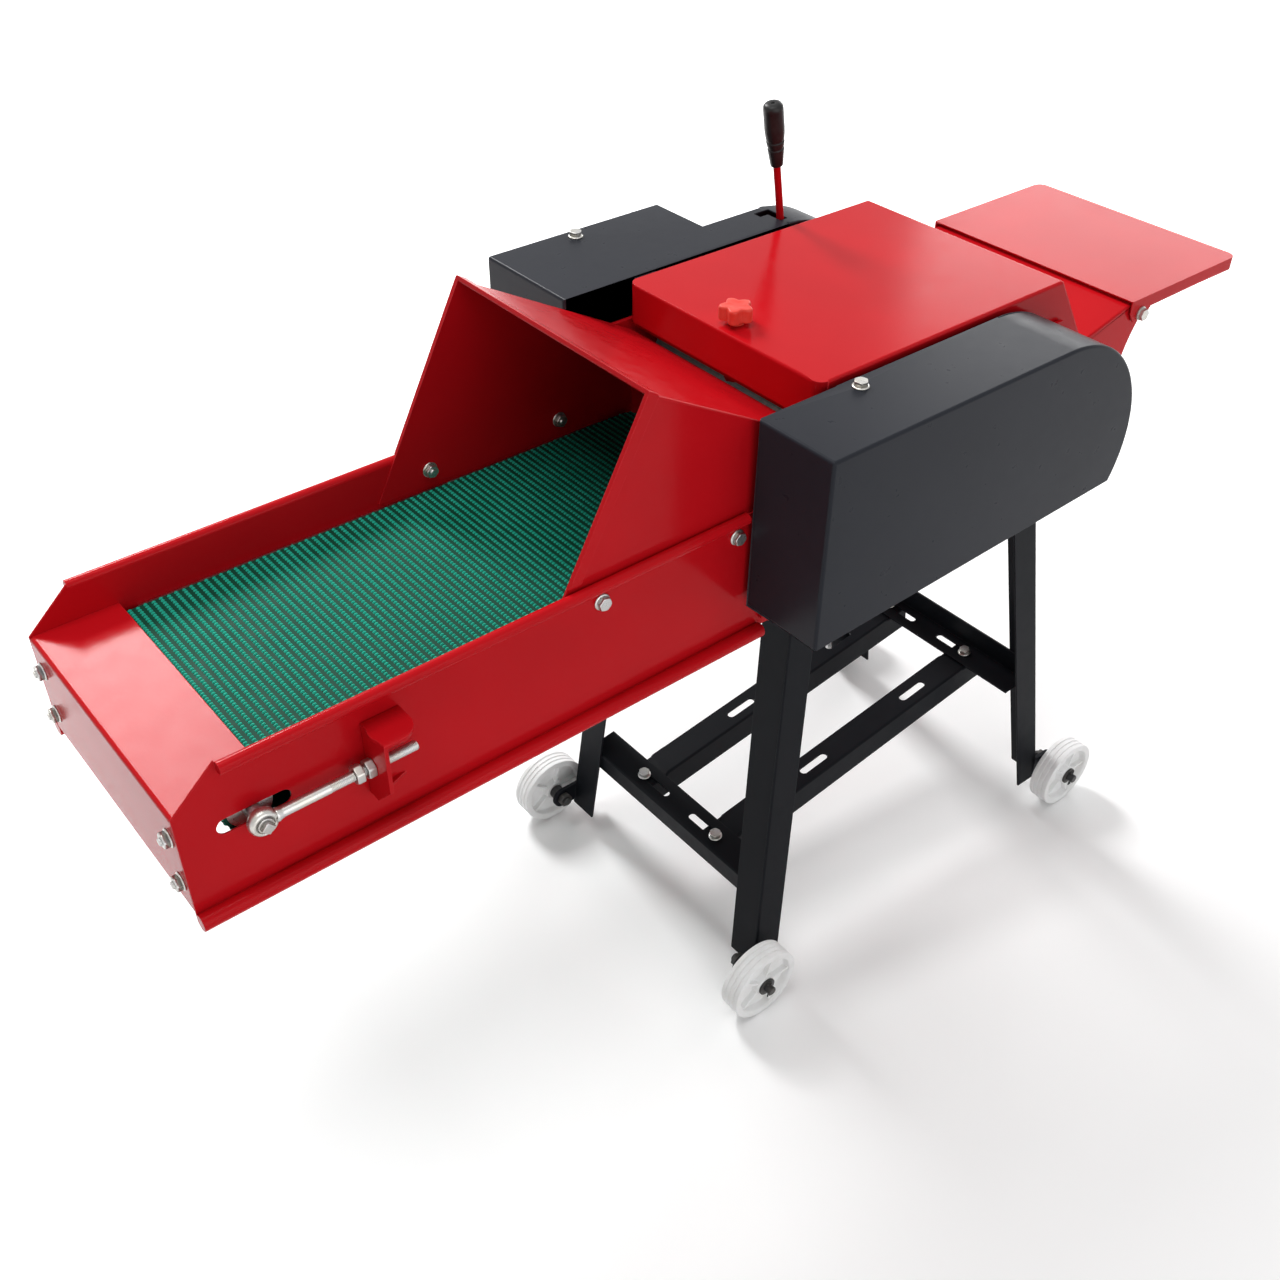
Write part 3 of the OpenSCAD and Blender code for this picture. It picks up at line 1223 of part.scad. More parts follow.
placed() trough_panel_near();
placed() trough_panel_far();
placed() trough_front_cap();
placed() belt_bed();
placed() conveyor_belt();
placed() front_roller();
placed() front_axle();
placed() tension_rods();
placed() tension_nuts();
placed() tension_brackets();
placed() drive_roller();
placed() drive_roller_gear();
placed() feed_hood();
placed() flange_bolts();
placed() side_plate_near();
placed() side_plate_far();
placed() knife_bar();
placed() bed_knife();
placed() drum_concave();
placed() discharge_chute();
placed() cutter_shaft();
placed() cutter_spiders();
placed() cutter_knives();
placed() knife_bolts();
placed() drive_pulley();
placed() sliding_pinion();
placed() cutter_bearings();
placed() counter_gear();
placed() gear_pins();
placed() upper_feed_roller();
placed() upper_drive_gear();
placed() upper_pair_gear();
placed() lower_feed_roller();
placed() lower_pair_gear();
placed() conveyor_gear();
placed() idler_gear();
placed() roller_bushes();
placed() belt_guard();
placed() gear_guard();
placed() guard_brackets();
placed() top_cover();
placed() cover_knob();
placed() latch_bar();
placed() cover_hinges();
placed() discharge_flap();
placed() flap_pivots();
placed() gear_lever();
placed() lever_grip();
placed() lever_bracket();
placed() shift_fork();
placed() front_legs();
placed() rear_legs();
placed() front_cross_member();
placed() rear_cross_member();
placed() motor_rails();
placed() wheel_front_near();
placed() wheel_front_far();
placed() wheel_rear_near();
placed() wheel_rear_far();
placed() wheel_axles();
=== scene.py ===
"""Looks of the belt-fed chaff cutter: paint, plating, belt, bolts and wheels around its CAD frame."""

import json
import math

import bmesh
import bpy
from mathutils import Matrix, Vector
from mathutils.bvhtree import BVHTree


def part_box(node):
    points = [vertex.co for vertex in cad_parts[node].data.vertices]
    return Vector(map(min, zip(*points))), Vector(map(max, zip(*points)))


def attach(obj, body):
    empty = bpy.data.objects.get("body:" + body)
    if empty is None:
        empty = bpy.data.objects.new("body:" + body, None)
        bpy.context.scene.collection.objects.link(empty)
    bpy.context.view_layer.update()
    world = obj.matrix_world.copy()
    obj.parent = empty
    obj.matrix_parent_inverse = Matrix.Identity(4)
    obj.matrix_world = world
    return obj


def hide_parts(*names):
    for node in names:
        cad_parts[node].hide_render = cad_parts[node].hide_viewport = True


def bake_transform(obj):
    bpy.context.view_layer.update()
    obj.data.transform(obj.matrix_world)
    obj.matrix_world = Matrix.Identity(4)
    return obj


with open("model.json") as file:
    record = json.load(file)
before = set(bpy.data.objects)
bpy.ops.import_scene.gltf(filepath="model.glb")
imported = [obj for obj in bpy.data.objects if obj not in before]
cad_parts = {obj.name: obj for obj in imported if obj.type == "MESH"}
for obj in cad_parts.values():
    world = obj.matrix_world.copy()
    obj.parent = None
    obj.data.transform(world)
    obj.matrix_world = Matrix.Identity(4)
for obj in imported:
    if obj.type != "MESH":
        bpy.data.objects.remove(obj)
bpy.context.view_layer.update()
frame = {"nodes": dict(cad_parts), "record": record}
nodes = frame["nodes"]
bodies = frame["record"]["behaviour"]["bodies"]
slot_of = {part["node"]: part["material_slot"] for part in frame["record"]["subparts"]}
body_of = {node: body for body, members in bodies.items() for node in members}

# Machine places are in millimetres from the trough's front, the centre line and the floor
MM = 0.001
MID_X = 714.0
MID_Y = 22.5


def at(x, y, z):
    return Vector(((x - MID_X) * MM, (y - MID_Y) * MM, z * MM))


# Shader helpers


def feed(tree, socket, value):
    """Links another node's output to a socket, or sets a plain value on it."""
    if isinstance(value, bpy.types.NodeSocket):
        tree.links.new(value, socket)
    else:
        socket.default_value = value


def add(tree, kind, settings=None, **inputs):
    """A new node; inputs go by socket name, or by place as i0, i1 and so on."""
    node = tree.nodes.new(kind)
    for name, value in (settings or {}).items():
        setattr(node, name, value)
    for name, value in inputs.items():
        by_place = name[0] == "i" and name[1:].isdigit()
        feed(tree, node.inputs[int(name[1:]) if by_place else name], value)
    return node


def math_node(tree, operation, first, second=0.0):
    return add(tree, "ShaderNodeMath", {"operation": operation}, i0=first, i1=second).outputs[0]


def vector_measure(tree, operation, **vectors):
    """The number that a vector operation gives, such as a length or a dot product."""
    return add(tree, "ShaderNodeVectorMath", {"operation": operation}, **vectors).outputs["Value"]


def blend_colour(tree, factor, first, second, mode="MIX"):
    settings = {"data_type": "RGBA", "blend_type": mode}
    return add(tree, "ShaderNodeMix", settings, i0=factor, i6=first, i7=second).outputs[2]


def spread(tree, value, low, high, to_low, to_high):
    limits = {"i1": low, "i2": high, "i3": to_low, "i4": to_high}
    return add(tree, "ShaderNodeMapRange", None, i0=value, **limits).outputs[0]


def noise(tree, place, scale, detail=2.0, rough=0.5):
    settings = {"Vector": place, "Scale": scale, "Detail": detail, "Roughness": rough}
    return add(tree, "ShaderNodeTexNoise", None, **settings).outputs[0]


def new_group(name, inputs, outputs):
    tree = bpy.data.node_groups.new(name, "ShaderNodeTree")
    for label, kind, value in inputs:
        socket = tree.interface.new_socket(label, in_out="INPUT", socket_type=kind)
        socket.default_value = value
    for label, kind in outputs:
        tree.interface.new_socket(label, in_out="OUTPUT", socket_type=kind)
    return tree, tree.nodes.new("NodeGroupInput"), tree.nodes.new("NodeGroupOutput")


COLOUR = "NodeSocketColor"
VALUE = "NodeSocketFloat"
EDGE_WEAR_AND_HIGHLIGHT = 0.0016
EDGE_SAMPLES = 4


def make_paint_skin():
    """Sprayed paint: uneven tone, fine peel, and paler paint on the edges, partly worn paint and partly
    painted highlight.
    """
    tree, given, out = new_group(
        "paint_skin",
        [("Paint", COLOUR, (0.5, 0.01, 0.01, 1)), ("Edge", COLOUR, (0.7, 0.1, 0.1, 1)),
         ("Edge amount", VALUE, 0.5), ("Gloss", VALUE, 0.2), ("Peel size", VALUE, 300.0),
         ("Tone", VALUE, 0.1)],
        [("Colour", COLOUR), ("Roughness", VALUE), ("Height", VALUE)])
    place = add(tree, "ShaderNodeTexCoord").outputs["Object"]
    cloud = noise(tree, place, 5.0, 3.0)
    speck = noise(tree, place, 60.0, 4.0, 0.6)
    peel = noise(tree, place, given.outputs["Peel size"], 2.0)
    dark = math_node(tree, "SUBTRACT", 1.0, given.outputs["Tone"])
    shade = spread(tree, cloud, 0.3, 0.7, dark, 1.0)
    toned = blend_colour(tree, 1.0, given.outputs["Paint"], shade, "MULTIPLY")
    # Paler paint along the edges: partly thinner, worn paint and partly a painted highlight
    rounded = add(tree, "ShaderNodeBevel", {"samples": EDGE_SAMPLES}, Radius=EDGE_WEAR_AND_HIGHLIGHT).outputs[0]
    flat = add(tree, "ShaderNodeNewGeometry").outputs["Normal"]
    turn = vector_measure(tree, "DOT_PRODUCT", i0=rounded, i1=flat)
    edge = spread(tree, turn, 0.985, 0.85, 0.0, 1.0)
    broken = spread(tree, speck, 0.35, 0.62, 0.25, 1.0)
    thinned_and_highlit = math_node(tree, "MULTIPLY", edge, broken)
    worn_and_highlit = math_node(tree, "MULTIPLY", thinned_and_highlit, given.outputs["Edge amount"])
    tree.links.new(blend_colour(tree, worn_and_highlit, toned, given.outputs["Edge"]), out.inputs["Colour"])
    uneven = spread(tree, speck, 0.3, 0.7, -0.03, 0.05)
    tree.links.new(math_node(tree, "ADD", given.outputs["Gloss"], uneven), out.inputs["Roughness"])
    tree.links.new(peel, out.inputs["Height"])
    return tree


def make_plated_skin():
    """Plated or bare metal: faint rainbow tint, dull patches and fine marks."""
    tree, given, out = new_group(
        "plated_skin",
        [("Metal", COLOUR, (0.7, 0.7, 0.7, 1)), ("Tint", COLOUR, (0.75, 0.7, 0.6, 1)),
         ("Dull", COLOUR, (0.3, 0.3, 0.3, 1)), ("Dullness", VALUE, 0.3), ("Gloss", VALUE, 0.25),
         ("Grain size", VALUE, 900.0)],
        [("Colour", COLOUR), ("Roughness", VALUE), ("Height", VALUE)])
    place = add(tree, "ShaderNodeTexCoord").outputs["Object"]
    cloud = noise(tree, place, 70.0, 3.0)
    grain = noise(tree, place, given.outputs["Grain size"], 3.0, 0.6)
    rainbow = spread(tree, cloud, 0.35, 0.65, 0.0, 1.0)
    tinted = blend_colour(tree, rainbow, given.outputs["Metal"], given.outputs["Tint"])
    stain = noise(tree, place, 33.0, 5.0, 0.65)
    patch = spread(tree, stain, 0.5, 0.75, 0.0, given.outputs["Dullness"])
    tree.links.new(blend_colour(tree, patch, tinted, given.outputs["Dull"]), out.inputs["Colour"])
    rough = spread(tree, grain, 0.3, 0.7, -0.06, 0.1)
    dulled = math_node(tree, "ADD", math_node(tree, "MULTIPLY", patch, 0.4), rough)
    tree.links.new(math_node(tree, "ADD", given.outputs["Gloss"], dulled), out.inputs["Roughness"])
    tree.links.new(grain, out.inputs["Height"])
    return tree


def make_moulded_skin():
    """Moulded plastic or rubber: soft mottling, scuffs and a fine matt grain."""
    tree, given, out = new_group(
        "moulded_skin",
        [("Plastic", COLOUR, (0.8, 0.8, 0.8, 1)), ("Grime", COLOUR, (0.4, 0.4, 0.4, 1)),
         ("Grime amount", VALUE, 0.3), ("Gloss", VALUE, 0.45), ("Grain size", VALUE, 700.0)],
        [("Colour", COLOUR), ("Roughness", VALUE), ("Height", VALUE)])
    place = add(tree, "ShaderNodeTexCoord").outputs["Object"]
    cloud = noise(tree, place, 26.0, 5.0, 0.62)
    grain = noise(tree, place, given.outputs["Grain size"], 2.0)
    dirty = spread(tree, cloud, 0.42, 0.72, 0.0, given.outputs["Grime amount"])
    colour = blend_colour(tree, dirty, given.outputs["Plastic"], given.outputs["Grime"])
    tree.links.new(colour, out.inputs["Colour"])
    rough = spread(tree, cloud, 0.3, 0.7, -0.05, 0.12)
    tree.links.new(math_node(tree, "ADD", given.outputs["Gloss"], rough), out.inputs["Roughness"])
    tree.links.new(grain, out.inputs["Height"])
    return tree


SKINS = {"paint": make_paint_skin(), "plated": make_plated_skin(), "moulded": make_moulded_skin()}


def finish(name, skin, values, bump, depth, **shader_values):
    """One material: a shared skin group with its own values, feeding a Principled shader."""
    material = bpy.data.materials.new(name)
    material.use_nodes = True
    tree = material.node_tree
    shader = tree.nodes["Principled BSDF"]
    group = add(tree, "ShaderNodeGroup", {"node_tree": SKINS[skin]})
    for label, value in values.items():
        group.inputs[label].default_value = value
    tree.links.new(group.outputs["Colour"], shader.inputs["Base Color"])
    tree.links.new(group.outputs["Roughness"], shader.inputs["Roughness"])
    height = group.outputs["Height"]
    raised = add(tree, "ShaderNodeBump", None, Strength=bump, Distance=depth, Height=height)
    tree.links.new(raised.outputs[0], shader.inputs["Normal"])
    for label, value in shader_values.items():
        shader.inputs[label.replace("_", " ")].default_value = value
    return material


def rgb(red, green, blue):
    return (red, green, blue, 1.0)


# Each paint's Edge colour is paler than the paint: partly worn paint on the edges and partly painted
# highlight
RED = finish("red_paint", "paint",
             {"Paint": rgb(0.54, 0.006, 0.011), "Edge": rgb(0.72, 0.05, 0.06), "Edge amount": 0.55,
              "Gloss": 0.17, "Peel size": 260.0, "Tone": 0.14},
             0.10, 0.0006, Specular_IOR_Level=0.065)
GREY = finish("dark_grey_paint", "paint",
              {"Paint": rgb(0.022, 0.024, 0.031), "Edge": rgb(0.12, 0.12, 0.14), "Edge amount": 0.6,
               "Gloss": 0.30, "Peel size": 240.0, "Tone": 0.2},
              0.02, 0.0005, Specular_IOR_Level=0.08)
BLACK = finish("stand_black_paint", "paint",
               {"Paint": rgb(0.010, 0.011, 0.014), "Edge": rgb(0.07, 0.07, 0.08), "Edge amount": 0.6,
                "Gloss": 0.38, "Peel size": 500.0, "Tone": 0.25},
               0.06, 0.0005, Specular_IOR_Level=0.05)
ZINC = finish("zinc_plating", "plated",
              {"Metal": rgb(0.50, 0.50, 0.50), "Tint": rgb(0.53, 0.51, 0.46),
               "Dull": rgb(0.27, 0.27, 0.27), "Dullness": 0.45, "Gloss": 0.30, "Grain size": 900.0},
              0.12, 0.0003, Metallic=0.9)
STEEL = finish("bare_steel", "plated",
               {"Metal": rgb(0.40, 0.40, 0.41), "Tint": rgb(0.44, 0.42, 0.39),
                "Dull": rgb(0.17, 0.155, 0.14), "Dullness": 0.6, "Gloss": 0.33, "Grain size": 500.0},
               0.15, 0.0004, Metallic=1.0)
IRON = finish("cast_iron", "plated",
              {"Metal": rgb(0.20, 0.20, 0.21), "Tint": rgb(0.24, 0.22, 0.20),
               "Dull": rgb(0.10, 0.09, 0.085), "Dullness": 0.7, "Gloss": 0.52, "Grain size": 350.0},
              0.35, 0.0008, Metallic=0.85)
BRONZE = finish("bush_bronze", "plated",
                {"Metal": rgb(0.58, 0.40, 0.19), "Tint": rgb(0.62, 0.45, 0.24),
                 "Dull": rgb(0.20, 0.14, 0.08), "Dullness": 0.6, "Gloss": 0.32, "Grain size": 600.0},
                0.15, 0.0004, Metallic=1.0)
AXLE_BLACK = finish("black_axle_steel", "plated",
                    {"Metal": rgb(0.035, 0.035, 0.037), "Tint": rgb(0.05, 0.045, 0.04),
                     "Dull": rgb(0.015, 0.015, 0.015), "Dullness": 0.6, "Gloss": 0.38,
                     "Grain size": 700.0},
                    0.2, 0.0004, Metallic=0.4)
KNOB_RED = finish("knob_red_plastic", "moulded",
                  {"Plastic": rgb(0.74, 0.050, 0.034), "Grime": rgb(0.80, 0.16, 0.12),
                   "Grime amount": 0.7, "Gloss": 0.30, "Grain size": 500.0},
                  0.12, 0.0005, Specular_IOR_Level=0.25)
GRIP_BLACK = finish("grip_black_plastic", "moulded",
                    {"Plastic": rgb(0.011, 0.011, 0.012), "Grime": rgb(0.035, 0.034, 0.033),
                     "Grime amount": 0.6, "Gloss": 0.28, "Grain size": 800.0},
                    0.12, 0.0004, Specular_IOR_Level=0.2)
NYLON = finish("wheel_white_nylon", "moulded",
               {"Plastic": rgb(0.93, 0.93, 0.93), "Grime": rgb(0.75, 0.74, 0.71),
                "Grime amount": 0.5, "Gloss": 0.42, "Grain size": 600.0},
               0.15, 0.0005, Specular_IOR_Level=0.45)
BELT = finish("belt_green_nubs", "moulded",
              {"Plastic": rgb(0.014, 0.38, 0.26), "Grime": rgb(0.030, 0.47, 0.34),
               "Grime amount": 0.6, "Gloss": 0.48, "Grain size": 500.0},
              0.2, 0.0004, Specular_IOR_Level=0.08)
# The band between the nubs is the same green rubber, painted far darker than the nubs as painted shade
# in the valleys
BELT_BAND_PAINTED_SHADE = finish("belt_green_valleys_painted_shade", "moulded",
                   {"Plastic": rgb(0.003, 0.052, 0.030), "Grime": rgb(0.006, 0.07, 0.045),
                    "Grime amount": 0.6, "Gloss": 0.55, "Grain size": 500.0},
                   0.2, 0.0004, Specular_IOR_Level=0.1)

FINISH_OF_SLOT = {"red_paint": RED, "black_paint": GREY, "zinc_steel": ZINC, "bare_steel": STEEL,
                  "black_steel": AXLE_BLACK, "cast_iron": IRON, "bronze": BRONZE, "green_belt": BELT,
                  "red_plastic": KNOB_RED, "black_plastic": GRIP_BLACK, "white_nylon": NYLON}
STAND = ("front_legs", "rear_legs", "front_cross_member", "rear_cross_member", "motor_rails")
FLUTED = ("upper_feed_roller", "lower_feed_roller")


def finish_of(node):
    if node in FLUTED:
        return IRON
    return BLACK if node in STAND else FINISH_OF_SLOT[slot_of[node]]


# Mesh helpers

# Angles in degrees: edges under the first are shaded smooth, and those over the second are eased
SMOOTH_UNDER = 32.0
SHARP_OVER = 28.0
FLAT_WITHIN = 0.3

# Lengths in metres, and steps across a bend and across an eased edge
WELD = 3e-6
BROAD_FACE = 7.0 * MM
SHORTEST_BEND = 5.0 * MM
BEND_STEPS = 5
EASE_STEPS = 2

# Shares of the width that an edge is rounded by
SHORTEST_EASED = 1.2
DEEPEST_ROUND = 0.45
HIGHEST_FILLET = 0.32


def piece_from(work, name, material, body, replaced, smooth_under=SMOOTH_UNDER):
    """Makes a piece of a finished bmesh: it rides on a body, if one is named, in place of CAD nodes."""
    for face in work.faces:
        face.smooth = True
    for edge in work.edges:
        if len(edge.link_faces) == 2:
            edge.smooth = edge.calc_face_angle(0.0) < math.radians(smooth_under)
    mesh = bpy.data.meshes.new(name)
    work.to_mesh(mesh)
    work.free()
    mesh.materials.append(material)
    piece = bpy.data.objects.new(name, mesh)
    bpy.context.scene.collection.objects.link(piece)
    if body:
        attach(piece, body)
        flat = piece.modifiers.new("flat_faces_stay_flat", "WEIGHTED_NORMAL")
        flat.weight = 100
        flat.keep_sharp = True
    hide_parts(*replaced)
    return piece


def sharp_edges(work, shortest):
    limit = math.radians(SHARP_OVER)
    edges = [e for e in work.edges if len(e.link_faces) == 2 and e.calc_face_angle(0.0) > limit]
    return [e for e in edges if e.calc_length() > shortest]


def is_bend(edge):
    """True where two broad faces of a sheet meet on its outer side."""
    broad = BROAD_FACE * edge.calc_length()
    return edge.is_convex and all(face.calc_area() > broad for face in edge.link_faces)


def round_off(work, edges, width, steps):
    bmesh.ops.bevel(work, geom=edges, offset=width, offset_type="OFFSET", segments=steps, profile=0.5,
                    affect="EDGES", clamp_overlap=False, miter_outer="ARC")


def settle(work, solid, width, bend):
    """Brings points that a bevel threw clear of the solid's faces back onto them."""
    for vert in work.verts:
        near, normal, _, gap = solid.find_nearest(vert.co)
        outside = (vert.co - near).dot(normal) > 0
        if gap > (HIGHEST_FILLET * width if outside else DEEPEST_ROUND * max(bend, width)):
            vert.co = near
    bmesh.ops.dissolve_degenerate(work, dist=WELD, edges=work.edges)
    loose = [edge for edge in work.edges if not edge.link_faces]
    bmesh.ops.delete(work, geom=loose, context="EDGES")


def softened(node, width, bend):
    """A piece with the node's own shape, with rounded bends, and its other edges eased."""
    work = bmesh.new()
    work.from_mesh(nodes[node].data)
    bmesh.ops.remove_doubles(work, verts=work.verts, dist=WELD)
    flat = math.radians(FLAT_WITHIN)
    bmesh.ops.dissolve_limit(work, angle_limit=flat, verts=work.verts, edges=work.edges)
    solid = BVHTree.FromBMesh(work)
    bends = [edge for edge in sharp_edges(work, SHORTEST_BEND) if bend and is_bend(edge)]
    if bends:
        round_off(work, bends, bend, BEND_STEPS)
    round_off(work, sharp_edges(work, SHORTEST_EASED * width), width, EASE_STEPS)
    settle(work, solid, width, bend)
    piece_from(work, node + "_finish", finish_of(node), body_of[node], (node,))


def ring(work, centre, along, side, radius, count):
    """Vertices of one circle about a line, with one radius or a list of them.

    The vectors along and side have a length of 1 and are at right angles.
    """
    third = along.cross(side)
    radii = radius if hasattr(radius, "__len__") else [radius] * count
    made = []
    for step in range(count):
        angle = 2 * math.pi * step / count
        way = math.cos(angle) * side + math.sin(angle) * third
        made.append(work.verts.new(centre + radii[step] * way))
    return made


def skin_rings(work, rings, capped=True):
    """Quads between neighbouring rings, and a cap on each open end."""
    for low, high in zip(rings, rings[1:]):
        count = len(low)
        for step in range(count):
            after = (step + 1) % count
            work.faces.new((low[step], low[after], high[after], high[step]))
    if capped:
        work.faces.new(list(reversed(rings[0])))
        work.faces.new(rings[-1])


def turned(work, profile, origin, along, side, count=32):
    """A turned shape from pairs of distance along the axis and radius, in millimetres.

    A profile that ends where it starts makes a hollow ring, and any other one is capped.
    """
    endless = profile[0] == profile[-1]
    rings = [ring(work, origin + along * (d * MM), along, side, r * MM, count)
             for d, r in (profile[:-1] if endless else profile)]
    skin_rings(work, rings + rings[:1] if endless else rings, not endless)


# A hexagon's radius over half its flats: whole corners, corners turned off, and its end face
HEX_WHOLE = 1.1547
HEX_CUT = 1.06
HEX_END = 0.94
HEX_STEPS = 36
CHAMFER = 0.95
CHAMFER_END = 0.25


def hex_radii(flats, corner):
    """Radius of a hexagon at evenly spaced angles, with its corners drawn in by a factor."""
    made = []
    for step in range(HEX_STEPS):
        angle = (2 * math.pi * step / HEX_STEPS) % (math.pi / 3) - math.pi / 6
        made.append(min(0.5 * flats / math.cos(angle), 0.5 * flats * corner) * MM)
    return made


def hexagon(work, origin, along, side, start, height, flats, bore=0.0, both=True):
    """Hexagon with its corners turned off at one or both ends."""
    whole, cut, end = (hex_radii(flats, corner) for corner in (HEX_WHOLE, HEX_CUT, HEX_END))
    top = start + height
    layers = [(start, whole)]
    if both:
        layers = [(start, end), (start + CHAMFER_END, cut), (start + CHAMFER, whole)]
    layers += [(top - CHAMFER, whole), (top - CHAMFER_END, cut), (top, end)]
    rings = [ring(work, origin + along * (d * MM), along, side, r, HEX_STEPS) for d, r in layers]
    if bore:
        inner = [ring(work, origin + along * (d * MM), along, side, bore * MM, HEX_STEPS)
                 for d in (top, start)]
        skin_rings(work, rings + inner + [rings[0]], False)
    else:
        skin_rings(work, rings)


# Shares of a thread's pitch, rings to a pitch, and what is left of the depth at the very end
THREAD_DEPTH = 0.58
THREAD_END = 0.8
THREAD_END_LEFT = 0.15
THREAD_STEPS = 4


def thread(work, origin, along, side, start, end, outer, pitch, count=18):
    """A screw thread: rings whose radius follows the helix, with a chamfered end."""
    depth = THREAD_DEPTH * pitch
    steps = max(2, round((end - start) / pitch * THREAD_STEPS))
    rings = []
    for index in range(steps + 1):
        place = start + (end - start) * index / steps
        fade = min(1.0, (end - place) / (THREAD_END * pitch) + THREAD_END_LEFT)
        radii = []
        for step in range(count):
            phase = (place / pitch - step / count) % 1.0
            height = abs(2 * phase - 1.0)
            radii.append((outer - depth * (1 - height)) * MM - (1 - fade) * depth * MM)
        rings.append(ring(work, origin + along * (place * MM), along, side, radii, count))
    skin_rings(work, rings)


# Flange bolts of the sheets, the stand and the bearings

BOLT_FLATS = 13.0
BOLT_HEX_FROM = 1.2
BOLT_HEX_HEIGHT = 5.7
BOLT_THREAD = (6.0, 8.95)
BOLT_THREAD_R = 3.95
BOLT_PITCH = 1.25

# Distances from the seat, with radii
BOLT_FLANGE = ((0.0, 8.3), (0.25, 8.8), (1.0, 8.8), (1.6, 7.9), (2.1, 6.2))
HEAD_DISH = ((6.6, 4.6), (6.75, 4.3), (6.75, 0.5))
DISH_STEPS = 20


def flange_bolt(work, origin, along, grip):
    """Hexagon flange bolt and nut: the head stands at origin and points along the axis."""
    side = along.orthogonal().normalized()
    nut = origin - along * (grip * MM)
    for place, way in ((origin, along), (nut, -along)):
        turned(work, BOLT_FLANGE, place, way, side, HEX_STEPS)
        hexagon(work, place, way, side, BOLT_HEX_FROM, BOLT_HEX_HEIGHT, BOLT_FLATS, both=False)
    turned(work, HEAD_DISH, origin, along, side, DISH_STEPS)
    thread(work, nut, -along, side, *BOLT_THREAD, BOLT_THREAD_R, BOLT_PITCH)


# Directions, the two sides, and places of the machine that its bolts follow
X_WAY = Vector((1, 0, 0))
Y_WAY = Vector((0, 1, 0))
Z_WAY = Vector((0, 0, 1))
SIDES = (-1, 1)
HALF_W = 150.0
PLATE_OUT = 155.0
LEG_T = 3
BEARING_T = 6
CUTTER = (957.0, 680.0)
RAIL_TILT = math.radians(8.0)
RAIL_PLACE = (911.0, 184.0)
RAIL_Y = 72.0

# Places of the bolts: along the machine, out from its centre line and up from the floor
CAP_BOLT_X = 4
CAP_BOLT_Y = 134.0
CAP_BOLT_Z = (643.0, 591.0)
HOOD_BOLT_X = (432.0, 602.0)
HOOD_BOLT_Z = 687.3
TROUGH_BOLT_X = 655.0
TROUGH_BOLT_Z = (576.0, 603.0)
CHUTE_BOLT_X = 1081.0
CHUTE_BOLT_Z = (655.0, 704.0)
LEG_BOLT_X = (703.0, 1080.0)
LEG_BOLT_Z = (556.0, 586.0)
BEARING_BOLT_R = 46
BEARING_BOLT_TURNS = (30, 120, 210, 300)
RAIL_BOLT_U = (-242.57, 230.5)
GUARD_BOLT_X = 734
GUARD_BOLT_Y = (-173.0, 285.0)
GUARD_TOP_Z = 820

# Thickness that each kind of bolt holds together
SHEET_GRIP = 4
RAIL_GRIP = 6
GUARD_GRIP = 6
PLATE_GRIP = 7
LEG_GRIP = 8
BEARING_GRIP = 11


def on_rail(u, y):
    return at(RAIL_PLACE[0] + u * math.cos(RAIL_TILT), y, RAIL_PLACE[1] + u * math.sin(RAIL_TILT))


def side_bolts():
    """Place along and up, distance from the centre line and grip of the bolts on both sides."""
    made = [(x, HOOD_BOLT_Z, HALF_W, SHEET_GRIP) for x in HOOD_BOLT_X]
    made += [(TROUGH_BOLT_X, z, PLATE_OUT, PLATE_GRIP) for z in TROUGH_BOLT_Z]
    made += [(CHUTE_BOLT_X, z, PLATE_OUT, PLATE_GRIP) for z in CHUTE_BOLT_Z]
    made += [(x, z, PLATE_OUT + LEG_T, LEG_GRIP) for x in LEG_BOLT_X for z in LEG_BOLT_Z]
    for degrees in BEARING_BOLT_TURNS:
        turn = math.radians(degrees)
        x = CUTTER[0] + BEARING_BOLT_R * math.cos(turn)
        z = CUTTER[1] + BEARING_BOLT_R * math.sin(turn)
        made.append((x, z, PLATE_OUT + BEARING_T, BEARING_GRIP))
    return made


def make_bolts():
    work = bmesh.new()
    for z in CAP_BOLT_Z:
        for way in SIDES:
            flange_bolt(work, at(CAP_BOLT_X, way * CAP_BOLT_Y, z), X_WAY, SHEET_GRIP)
    for x, z, y, grip in side_bolts():
        for way in SIDES:
            flange_bolt(work, at(x, way * y, z), way * Y_WAY, grip)
    slope = Vector((-math.sin(RAIL_TILT), 0, math.cos(RAIL_TILT)))
    for u in RAIL_BOLT_U:
        for way in SIDES:
            flange_bolt(work, on_rail(u, way * RAIL_Y), slope, RAIL_GRIP)
    for y in GUARD_BOLT_Y:
        flange_bolt(work, at(GUARD_BOLT_X, y, GUARD_TOP_Z), Z_WAY, GUARD_GRIP)
    piece_from(work, "flange_bolt_set", ZINC, "frame", ("flange_bolts",))


# Belt tensioners: eye bolts on the front axle, and their nuts

TENSION = (68.0, 164.0, 642.0)
TENSION_PLATE_X = 172.0
AXLE_R = 7.5
AXLE_LAP = 0.2
AXLE_END = ((-AXLE_LAP, AXLE_R), (6.8, AXLE_R), (7.6, 6.6))
AXLE_SQUARE = ((7.0, 6.4), (11.2, 6.4), (12.0, 5.6))
AXLE_STEPS = 40
SQUARE_STEPS = 4
EYE_HALF = 6
EYE_BORE = AXLE_R + 0.01
EYE_ROUND = ((1.2, 13.5), (3.4, 12.9), (5.2, 11.6), (EYE_HALF, 10.2))
EYE_STEPS = 40
ROD_R = 5.0
ROD_PITCH = 1.5
ROD_THREAD = (62.0, 147.8)
ROD_NECK = ((9.0, 6.6), (13.0, 6.4), (16.0, 5.4), (18.0, ROD_R), (62.0, ROD_R), (62.4, 4.6))
ROD_STEPS = 28
ROD_THREAD_STEPS = 24
NUT_FLATS = 16.0
NUT_HEIGHT = 8.0
NUT_BORE = 5.06
NUT_PLACES = (-19, -8, 4)


